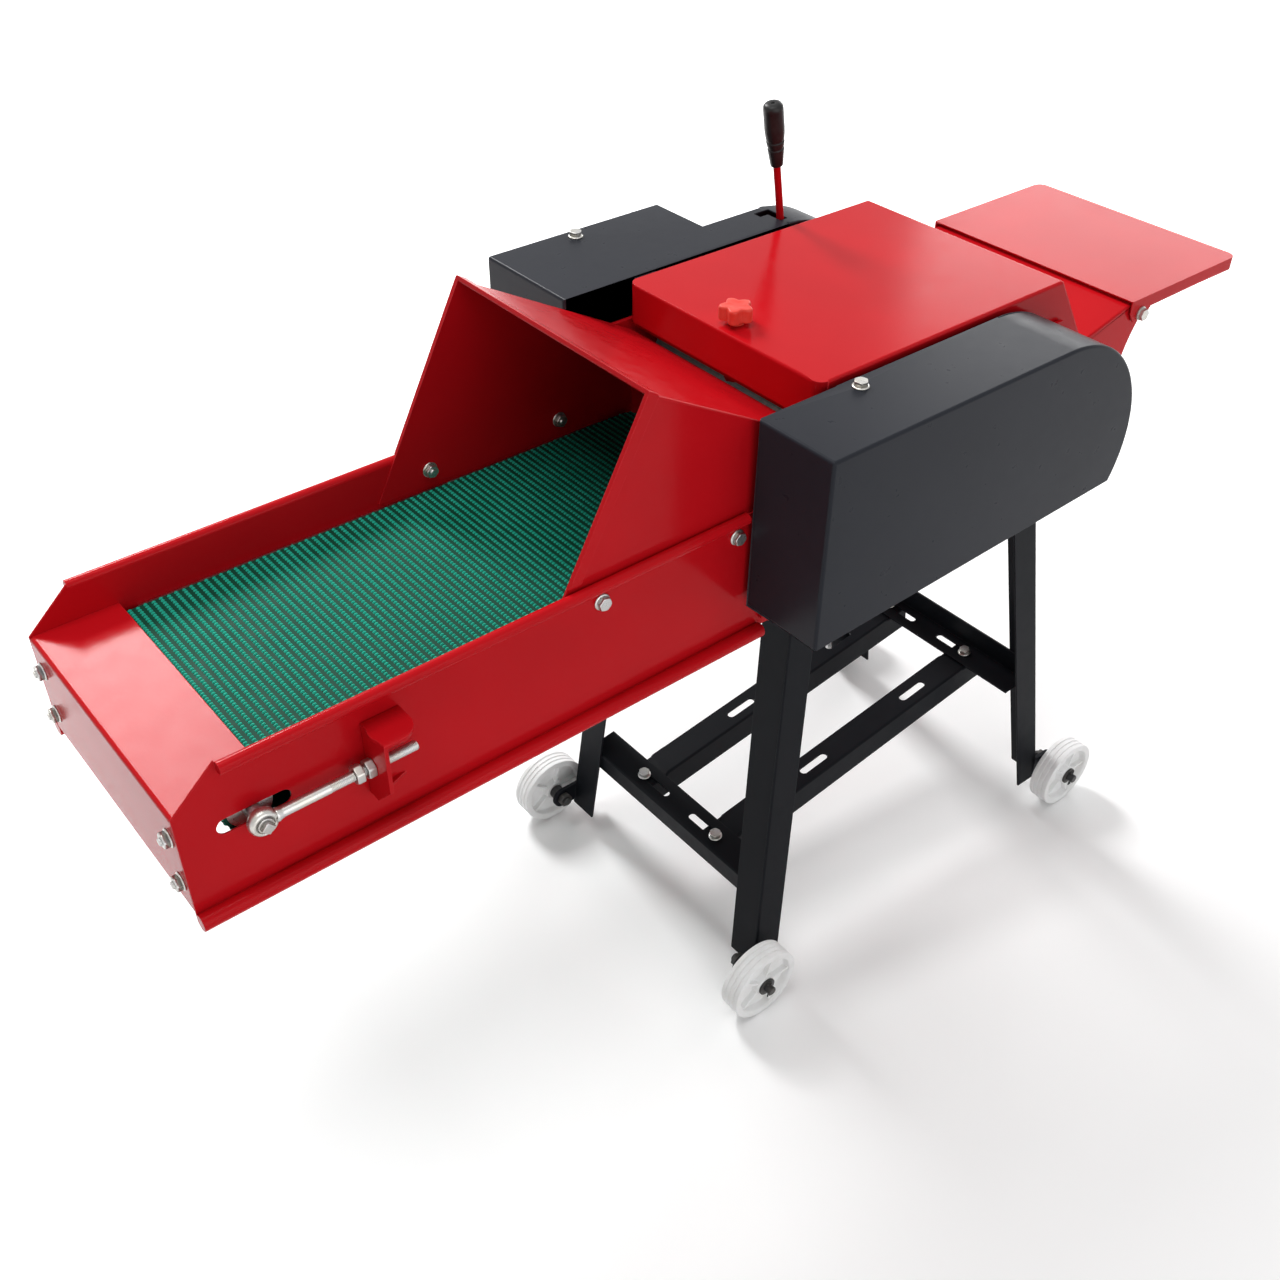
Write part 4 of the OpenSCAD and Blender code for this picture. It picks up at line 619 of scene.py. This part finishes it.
def make_tensioners():
    rods = bmesh.new()
    nuts = bmesh.new()
    axle = bmesh.new()
    bore = [(EYE_HALF, EYE_BORE), (-EYE_HALF, EYE_BORE)]
    eye_section = bore[1:] + [(-d, r) for d, r in reversed(EYE_ROUND)] + list(EYE_ROUND) + bore
    for way in SIDES:
        eye = at(TENSION[0], way * TENSION[1], TENSION[2])
        turned(rods, eye_section, eye, Y_WAY, X_WAY, EYE_STEPS)
        turned(rods, ROD_NECK, eye, X_WAY, Y_WAY, ROD_STEPS)
        thread(rods, eye, X_WAY, Y_WAY, *ROD_THREAD, ROD_R, ROD_PITCH, ROD_THREAD_STEPS)
        for place in NUT_PLACES:
            middle = at(TENSION_PLATE_X + place, way * TENSION[1], TENSION[2])
            hexagon(nuts, middle, X_WAY, Z_WAY, 0.0, NUT_HEIGHT, NUT_FLATS, NUT_BORE)
    middle = at(TENSION[0], 0, TENSION[2])
    turned(axle, ((-TENSION[1], AXLE_R), (TENSION[1], AXLE_R)), middle, Y_WAY, X_WAY, AXLE_STEPS)
    for way in SIDES:
        end = at(TENSION[0], way * (TENSION[1] - AXLE_LAP), TENSION[2])
        turned(axle, AXLE_END, end, way * Y_WAY, X_WAY, AXLE_STEPS)
        turned(axle, AXLE_SQUARE, end, way * Y_WAY, X_WAY, SQUARE_STEPS)
    piece_from(rods, "tension_eye_bolts", ZINC, "tensioner", ("tension_rods",))
    piece_from(nuts, "tension_hex_nuts", ZINC, "frame", ("tension_nuts",))
    piece_from(axle, "front_axle_squared", STEEL, "tensioner", ("front_axle",))


# Belt: a band with rows of nubs all round

RIB_H = 1.3
BAND_T = 3.0
RIB_PITCH = 7.8
NUB_PITCH = 4.25
NUB_LOW = -0.1
BELT_SMOOTH_UNDER = 40.0

# Shares of the pitch along a row with heights, then places across a row with shares of the height
NUB_SHAPE = ((0.0, NUB_LOW), (0.2, RIB_H), (0.52, RIB_H), (0.76, NUB_LOW))
ROW_SHAPE = ((-2.3, 0.0), (-1.2, 1.0), (0.4, 1.0), (1.9, 0.0))
ROW_STAGGER = 0.24


def belt_sizes():
    """Roller places, height, radius and sides of the band, read from the belt's own box."""
    low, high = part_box("conveyor_belt")
    radius = 0.5 * (high.z - low.z) - RIB_H * MM
    reach = radius + RIB_H * MM
    return low.x + reach, high.x - reach, 0.5 * (low.z + high.z), radius, low.y, high.y


def round_the_rollers(distance, front, rear, height, radius):
    """Place on the band's outer face at a distance from the front roller's top, and the way out."""
    run = rear - front
    arc = math.pi * radius
    if distance < run:
        return Vector((front + distance, 0, height + radius)), Vector((0, 0, 1))
    if distance < run + arc:
        turn = (distance - run) / radius
        out = Vector((math.sin(turn), 0, math.cos(turn)))
        return Vector((rear, 0, height)) + radius * out, out
    if distance < 2 * run + arc:
        return Vector((rear - (distance - run - arc), 0, height - radius)), Vector((0, 0, -1))
    turn = (distance - 2 * run - arc) / radius
    out = Vector((-math.sin(turn), 0, -math.cos(turn)))
    return Vector((front, 0, height)) + radius * out, out


def close_nub(nubs, flanks, first):
    """Faces of one nub, which takes up a few points of each line across its row, and of its foot."""
    last = first + len(NUB_SHAPE) - 1
    for low, high in zip(flanks, flanks[1:]):
        for step in range(first, last):
            nubs.faces.new((low[step], low[step + 1], high[step + 1], high[step]))
    foot = [line[first] for line in flanks] + flanks[-1][first + 1:last]
    foot += [line[last] for line in reversed(flanks)] + flanks[0][last - 1:first:-1]
    nubs.faces.new(foot)


def make_belt():
    front, rear, height, radius, near, far = belt_sizes()
    length = 2 * (rear - front) + 2 * math.pi * radius
    rows = round(length / (RIB_PITCH * MM))
    pitch = length / rows
    across = round((far - near) / (NUB_PITCH * MM))
    nub_pitch = (far - near) / across
    band = bmesh.new()
    nubs = bmesh.new()
    loops = []
    for row in range(rows):
        place, out = round_the_rollers(row * pitch, front, rear, height, radius)
        inner = place - out * (BAND_T * MM)
        corners = [(place, near), (place, far), (inner, far), (inner, near)]
        loops.append([band.verts.new((point.x, y, point.z)) for point, y in corners])
        places = [(near + (nub + part + ROW_STAGGER * (row % 2)) * nub_pitch, tall)
                  for nub in range(across) for part, tall in NUB_SHAPE]
        flanks = []
        for shift, share in ROW_SHAPE:
            away = (row * pitch + shift * MM) % length
            point, way = round_the_rollers(away, front, rear, height, radius)
            tops = [(point + way * ((share * tall + (1 - share) * NUB_LOW) * MM), y)
                    for y, tall in places]
            flanks.append([nubs.verts.new((top.x, y, top.z)) for top, y in tops])
        for first in range(0, len(places), len(NUB_SHAPE)):
            close_nub(nubs, flanks, first)
    skin_rings(band, loops + [loops[0]], False)
    for work, name, material in ((band, "belt_band", BELT_BAND_PAINTED_SHADE), (nubs, "belt_nubs", BELT)):
        bmesh.ops.recalc_face_normals(work, faces=work.faces)
        piece = piece_from(work, name, material, None, ("conveyor_belt",),
                           BELT_SMOOTH_UNDER)
        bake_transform(piece)


# Wheels and their axles

WHEELS = ("wheel_front_near", "wheel_front_far", "wheel_rear_near", "wheel_rear_far")
WHEEL_STEPS = 72
TREAD_GROOVES = (-7.0, 0.0, 7.0)
GROOVE_SHAPE = ((-1.5, 0.0), (-1.1, 1.0), (0.0, 1.55), (1.1, 1.0), (1.5, 0.0))
SPOKES = 5
SPOKE_FROM = 13.5
SPOKE_TO_TREAD = 9.5
SPOKE_SUNK = 3.2
SPOKE_T = 4.0
SPOKE_EDGE = 0.9


def rounded_bar(work, place, size, easing):
    """A bar of a given size, centred on a place, with its edges rounded."""
    shape = place @ Matrix.Diagonal((size[0], size[1], size[2], 1.0))
    made = bmesh.ops.create_cube(work, size=1.0, matrix=shape)["verts"]
    edges = list({edge for vert in made for edge in vert.link_edges})
    bmesh.ops.bevel(work, geom=edges, offset=easing, offset_type="OFFSET", segments=2, profile=0.5,
                    affect="EDGES")


def wheel_section(radius, half):
    """Closed section of the wheel: distance from its middle along the axle, and radius."""
    rim = [(half - 1.8, radius), (half - 0.5, radius - 0.5), (half, radius - 1.6), (half, radius - 7.6),
           (half - 0.7, radius - 9.0), (half - 2.0, radius - 9.8)]
    web = [(5.0, radius - 10.8), (4.0, radius - 12.2), (4.0, 17.0), (4.6, 15.4), (6.0, 14.5)]
    hub = [(half - 1.6, 13.6), (half - 0.5, 13.0), (half, 11.8), (half, 6.9), (half - 0.7, 6.06)]
    side = rim + web + hub
    tread = [(-half + 1.8, radius)]
    for groove in TREAD_GROOVES:
        tread += [(groove + across, radius - deep) for across, deep in GROOVE_SHAPE]
    other = [(-distance, r) for distance, r in reversed(side[1:])]
    return tread + side + other + [tread[0]]


def wheel_sizes(node):
    """Middle of a wheel, and its radius and half width in millimetres."""
    low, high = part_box(node)
    return 0.5 * (low + high), 0.5 * (high.z - low.z) / MM, 0.5 * (high.y - low.y) / MM


def make_wheels():
    for node in WHEELS:
        middle, radius, half = wheel_sizes(node)
        work = bmesh.new()
        turned(work, wheel_section(radius, half), middle, Y_WAY, X_WAY, WHEEL_STEPS)
        spoke_to = radius - SPOKE_TO_TREAD
        size = ((spoke_to - SPOKE_FROM) * MM, 2 * (half - SPOKE_SUNK) * MM, SPOKE_T * MM)
        reach = Matrix.Translation((0.5 * (SPOKE_FROM + spoke_to) * MM, 0, 0))
        for spoke in range(SPOKES):
            way = Matrix.Rotation(2 * math.pi * spoke / SPOKES, 4, "Y")
            rounded_bar(work, Matrix.Translation(middle) @ way @ reach, size, SPOKE_EDGE * MM)
        bmesh.ops.recalc_face_normals(work, faces=work.faces)
        piece_from(work, node + "_spoked", NYLON, body_of[node], (node,))


# Sections in millimetres beyond the wheel's inner or outer face, with radii
WHEEL_AXLE_IN = ((31.0, 5.0), (30.0, 5.95))
WHEEL_AXLE_OUT = ((11.0, 5.95), (12.0, 5.0))
COLLAR = ((14.0, 9.4), (13.4, 10.0), (1.0, 10.0), (0.3, 9.4))
WASHER = ((0.3, 12.0), (2.5, 12.0), (2.5, 6.0))
WASHER_STEPS = 36
WHEEL_NUT_FROM = 27.0
WHEEL_NUT_HEIGHT = 8.0
WHEEL_NUT_FLATS = 18.0

# Split pin: place beyond the wheel, its wire, its eye and its two bent legs
SPLIT_PIN_AT = 6.0
WIRE_R = 1.0
WIRE_STEPS = 8
SPLIT_EYE_UP = 10.6
SPLIT_EYE_R = 3.2
SPLIT_EYE_FROM = -115.0
SPLIT_EYE_STEP = 310.0 / 19
SPLIT_EYE_STEPS = 20
SPLIT_LEG = ((-8.0, WIRE_R), (5.0, WIRE_R))
SPLIT_LEG_BENT = ((0.0, WIRE_R), (9.0, WIRE_R), (9.4, 0.6))
SPLIT_LEG_BESIDE = 0.6
SPLIT_LEG_BEND = 4.8
SPLIT_LEG_LEANS = (-0.16, 0.10)
SPLIT_LEG_STEPS = 10


def split_pin(work, pin, out):
    """Split pin through an axle's end, with its eye above and its legs bent apart below."""
    eye = pin + Z_WAY * (SPLIT_EYE_UP * MM)
    corners = []
    for step in range(SPLIT_EYE_STEPS + 1):
        turn = math.radians(SPLIT_EYE_FROM + SPLIT_EYE_STEP * step)
        corners.append(eye + SPLIT_EYE_R * MM * (math.sin(turn) * X_WAY + math.cos(turn) * Z_WAY))
    for first, second in zip(corners, corners[1:]):
        piece = second - first
        wire = ((0.0, WIRE_R), (piece.length / MM, WIRE_R))
        turned(work, wire, first, piece.normalized(), out, WIRE_STEPS)
    for lean in SPLIT_LEG_LEANS:
        beside = math.copysign(SPLIT_LEG_BESIDE, lean)
        bend = pin + Vector((beside, 0, -SPLIT_LEG_BEND)) * MM
        bent_way = Vector((lean, 0, -1.0)).normalized()
        turned(work, SPLIT_LEG, pin + X_WAY * (beside * MM), -Z_WAY, X_WAY, SPLIT_LEG_STEPS)
        turned(work, SPLIT_LEG_BENT, bend, bent_way, out, SPLIT_LEG_STEPS)


def make_axles():
    """Wheel axles with collar, washer and inner nut, and a split pin through each outer end."""
    work = bmesh.new()
    for node in WHEELS:
        middle, _, half = wheel_sizes(node)
        out = Y_WAY if middle.y > at(0, 0, 0).y else -Y_WAY
        axle = [(-half - d, r) for d, r in WHEEL_AXLE_IN] + [(half + d, r) for d, r in WHEEL_AXLE_OUT]
        turned(work, axle, middle, out, X_WAY)
        hexagon(work, middle, out, X_WAY, -half - WHEEL_NUT_FROM, WHEEL_NUT_HEIGHT, WHEEL_NUT_FLATS)
        turned(work, [(-half - d, r) for d, r in COLLAR], middle, out, X_WAY)
        turned(work, [(half + d, r) for d, r in WASHER], middle, out, X_WAY, WASHER_STEPS)
        split_pin(work, middle + out * ((half + SPLIT_PIN_AT) * MM), out)
    piece_from(work, "wheel_axle_set", AXLE_BLACK, body_of["wheel_axles"],
               ("wheel_axles",))


# Lever grip and cover knob

LEVER_PIVOT = (974.0, 182.0, 762.0)
LEVER_LEAN = Vector((-13.3, -4.0, 55.0)).normalized()
LEVER_LEN = 131.0
GRIP_LEN = 78.0
GRIP_R = 11.7
GRIP_FOOT_R = 7.6
GRIP_BORE = 4.6
GRIP_STEPS = 48

# Shares of the grip's length
GRIP_GROOVES = (0.3, 0.42)
GRIP_WIDE_FROM = 0.55
GRIP_WIDEST_FROM = 0.62

# Distances from a groove's middle, from the foot or from the top, and how far the section draws in
GRIP_GROOVE = ((-1.9, 0.1), (-1.5, 0.5), (-1.0, 1.1), (1.0, 1.0), (1.5, 0.4), (1.9, 0.0))
GRIP_FOOT = ((0.0, 1.0), (0.4, 0.3), (1.2, 0.0))
GRIP_TOP = ((7.0, 0.0), (3.6, 0.5), (1.6, 1.9), (0.5, 4.0), (0.0, 6.6))
GRIP_DIMPLE = ((0.0, 2.6), (0.5, 2.2), (3.0, 2.0))


def make_grip():
    work = bmesh.new()
    origin = at(*LEVER_PIVOT) + LEVER_LEAN * (LEVER_LEN * MM)
    side = LEVER_LEAN.orthogonal().normalized()
    profile = [(0.0, GRIP_BORE)] + [(up, GRIP_FOOT_R - cut) for up, cut in GRIP_FOOT]
    for share in GRIP_GROOVES:
        middle = share * GRIP_LEN
        radius = GRIP_FOOT_R + (GRIP_R - GRIP_FOOT_R) * min(1.0, share / GRIP_WIDE_FROM)
        profile += [(middle + up, radius - cut) for up, cut in GRIP_GROOVE]
    profile += [(GRIP_WIDE_FROM * GRIP_LEN, GRIP_R - 0.15), (GRIP_WIDEST_FROM * GRIP_LEN, GRIP_R)]
    profile += [(GRIP_LEN - down, GRIP_R - cut) for down, cut in GRIP_TOP]
    profile += [(GRIP_LEN - down, radius) for down, radius in GRIP_DIMPLE]
    turned(work, profile, origin, LEVER_LEAN, side, GRIP_STEPS)
    piece_from(work, "lever_grip_moulded", GRIP_BLACK, "lever", ("lever_grip",))


KNOB_X = 727
KNOB_STEPS = 100
KNOB_POINTS = 5

# Shares of the knob's radius, and how blunt its points are
KNOB_WAIST = 0.68
KNOB_POINT = 0.30
KNOB_BLUNT = 0.85

# Heights above the cover, with shares of the star and with radii
KNOB_LAYERS = ((5.0, 0.70), (5.1, 0.90), (5.7, 0.965), (6.8, 1.0), (17.6, 1.0), (19.3, 0.985),
               (20.4, 0.945), (20.9, 0.88), (20.9, 0.62), (20.5, 0.55), (20.4, 0.20))
KNOB_HUB = ((0.3, 8.2), (0.6, 9.0), (4.6, 9.0), (5.4, 9.8))
KNOB_HUB_STEPS = 36
STUD_R = 4.98
STUD_PITCH = 1.5
STUD_STEPS = 24
STUD_IN_HUB = 1.0
STUD_SHORT = 0.2


def make_knob():
    low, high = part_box("cover_knob")
    radius = 0.25 * (high.x - low.x + high.y - low.y)
    cover_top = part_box("top_cover")[1].z
    middle = Vector((at(KNOB_X, 0, 0).x, at(0, 0, 0).y, cover_top))
    star = []
    for step in range(KNOB_STEPS):
        wave = 0.5 + 0.5 * math.cos(KNOB_POINTS * 2 * math.pi * step / KNOB_STEPS)
        star.append(radius * (KNOB_WAIST + KNOB_POINT * wave ** KNOB_BLUNT))
    work = bmesh.new()
    rings = [ring(work, middle + Z_WAY * (d * MM), Z_WAY, X_WAY, [share * r for r in star], KNOB_STEPS)
             for d, share in KNOB_LAYERS]
    skin_rings(work, rings)
    turned(work, KNOB_HUB, middle, Z_WAY, X_WAY, KNOB_HUB_STEPS)
    stud_end = (cover_top - low.z) / MM - STUD_SHORT
    thread(work, middle, -Z_WAY, X_WAY, -STUD_IN_HUB, stud_end, STUD_R, STUD_PITCH, STUD_STEPS)
    piece_from(work, "cover_star_knob", KNOB_RED, "knob", ("cover_knob",))


# Pieces with the CAD shape and softened edges

SHEETS = ("trough_panel_near", "trough_panel_far", "trough_front_cap", "feed_hood", "top_cover",
          "discharge_flap", "discharge_chute", "belt_guard", "gear_guard", "tension_brackets",
          *STAND, "side_plate_near", "side_plate_far")
CASTINGS = ("cutter_bearings", "drive_pulley", "cutter_spiders", "shift_fork")
MACHINED = ("guard_brackets", "latch_bar", "cover_hinges", "lever_bracket", "gear_lever", "knife_bar",
            "drum_concave", "belt_bed", "bed_knife", "cutter_knives", "cutter_shaft", "front_roller",
            "drive_roller")

# Widths of eased edges and radii of bends, in millimetres
EASED = ((SHEETS, 0.6), (CASTINGS, 0.8), (MACHINED, 0.3))
BENT = ((("trough_panel_near", "trough_panel_far", "feed_hood", "discharge_chute"), 2.5),
        (("trough_front_cap",), 4.0),
        (("top_cover", "belt_guard", "gear_guard"), 3.5),
        (("discharge_flap", *STAND), 3.0),
        (("tension_brackets",), 1.5))
BENDS = {node: radius * MM for names, radius in BENT for node in names}


def make_softened():
    for names, width in EASED:
        for node in names:
            softened(node, width * MM, BENDS.get(node, 0.0))


def finish_the_solids():
    for node, part in nodes.items():
        part.data.materials.clear()
        part.data.materials.append(finish_of(node))


# Floor, light and camera

# Distance in metres over which the floor's seen colour rises, and the colour that lights the machine
FLOOR_NEAR = 0.7
FLOOR_FAR = 9.0
FLOOR_SEEN = 1.06
FLOOR_SEEN_FAR = 3.4
FLOOR_BOUNCE = 0.85
FLOOR_SIZE = 60
FLOOR_DROP = 0.0005


def seen_directly(tree):
    """1 for what the camera sees straight on, in a mirror or through glass, and 0 for diffuse light."""
    path = tree.nodes.new("ShaderNodeLightPath").outputs
    mirror = math_node(tree, "MAXIMUM", path["Is Glossy Ray"], path["Is Transmission Ray"])
    return math_node(tree, "MAXIMUM", path["Is Camera Ray"], mirror)


def make_floor():
    """Pale floor: it looks white as far as its edge, and keeps the shadows."""
    bpy.ops.mesh.primitive_plane_add(size=FLOOR_SIZE, location=(0, 0, -FLOOR_DROP))
    floor = bpy.context.object
    floor.name = "studio_floor"
    material = bpy.data.materials.new("studio_floor_pale")
    material.use_nodes = True
    tree = material.node_tree
    shader = tree.nodes["Principled BSDF"]
    place = add(tree, "ShaderNodeTexCoord").outputs["Object"]
    away = vector_measure(tree, "LENGTH", i0=place)
    white = spread(tree, away, FLOOR_NEAR, FLOOR_FAR, FLOOR_SEEN, FLOOR_SEEN_FAR)
    bounce = rgb(FLOOR_BOUNCE, FLOOR_BOUNCE, FLOOR_BOUNCE)
    tree.links.new(blend_colour(tree, seen_directly(tree), bounce, white), shader.inputs["Base Color"])
    shader.inputs["Roughness"].default_value = 1.0
    shader.inputs["Specular IOR Level"].default_value = 0.0
    floor.data.materials.append(material)


def area_lamp(name, place, target, width, height, watts):
    data = bpy.data.lights.new(name, "AREA")
    data.shape = "RECTANGLE"
    data.size = width
    data.size_y = height
    data.energy = watts
    lamp = bpy.data.objects.new(name, data)
    bpy.context.scene.collection.objects.link(lamp)
    lamp.location = place
    lamp.rotation_mode = "QUATERNION"
    lamp.rotation_quaternion = (Vector(target) - Vector(place)).to_track_quat("-Z", "Y")


BRIGHT_WAY = (0.62, 0.62, 0.48)
BRIGHT_FROM = 0.7
WALL_DIM = 0.12
WALL_BRIGHT = 0.65


def make_light():
    """A bright rear wall and dim front walls, with lamps above, behind and on the near side."""
    world = bpy.data.worlds.new("studio_world")
    world.use_nodes = True
    tree = world.node_tree
    back = tree.nodes["Background"]
    way = add(tree, "ShaderNodeTexCoord").outputs["Generated"]
    facing = vector_measure(tree, "DOT_PRODUCT", i0=way, i1=BRIGHT_WAY)
    walls = spread(tree, facing, 0.0, BRIGHT_FROM, WALL_DIM, WALL_BRIGHT)
    tree.links.new(math_node(tree, "MAXIMUM", walls, seen_directly(tree)), back.inputs["Strength"])
    back.inputs["Color"].default_value = rgb(1.0, 1.0, 1.0)
    bpy.context.scene.world = world
    area_lamp("key_lamp", (-0.9, 0.0, 3.7), (0, 0, 0.6), 2.0, 2.0, 46)
    area_lamp("fill_lamp", (-0.5, -3.6, 1.6), (-0.1, 0, 0.4), 4.0, 2.6, 53)
    area_lamp("rear_window", (0.17, 3.2, 3.3), (-0.66, 0, 0.66), 0.9, 1.4, 125)
    area_lamp("rear_softbox", (2.9, 1.2, 1.8), (0.55, 0, 0.87), 1.4, 1.0, 17)


# Focal length and centre in pixels of the photograph, place in metres, angles in degrees
PHOTO_SIDE = 1280.0
FOCAL = 1419.33
CENTRE = (640.62, 642.91)
SENSOR = 36.0
CAMERA_AT = (-0.92459, -1.01017, 1.48842)
YAW = -39.473
PITCH = 38.859
ROLL = 0.502


def make_camera():
    data = bpy.data.cameras.new("photo_camera")
    data.sensor_fit = "HORIZONTAL"
    data.sensor_width = SENSOR
    data.lens = SENSOR * FOCAL / PHOTO_SIDE
    data.shift_x = (PHOTO_SIDE / 2 - CENTRE[0]) / PHOTO_SIDE
    data.shift_y = (CENTRE[1] - PHOTO_SIDE / 2) / PHOTO_SIDE
    data.clip_start = 0.02
    data.clip_end = 100.0
    camera = bpy.data.objects.new("photo_camera", data)
    bpy.context.scene.collection.objects.link(camera)
    camera.location = CAMERA_AT
    camera.rotation_mode = "XYZ"
    turn = Matrix.Rotation(math.radians(YAW), 4, "Z")
    tilt = Matrix.Rotation(math.radians(90.0 - PITCH), 4, "X")
    roll = Matrix.Rotation(math.radians(ROLL), 4, "Z")
    camera.rotation_euler = (turn @ tilt @ roll).to_euler("XYZ")
    bpy.context.scene.camera = camera


make_softened()
make_bolts()
make_tensioners()
make_belt()
make_wheels()
make_axles()
make_grip()
make_knob()
finish_the_solids()
make_floor()
make_light()
make_camera()
bpy.context.scene.view_settings.view_transform = "Standard"
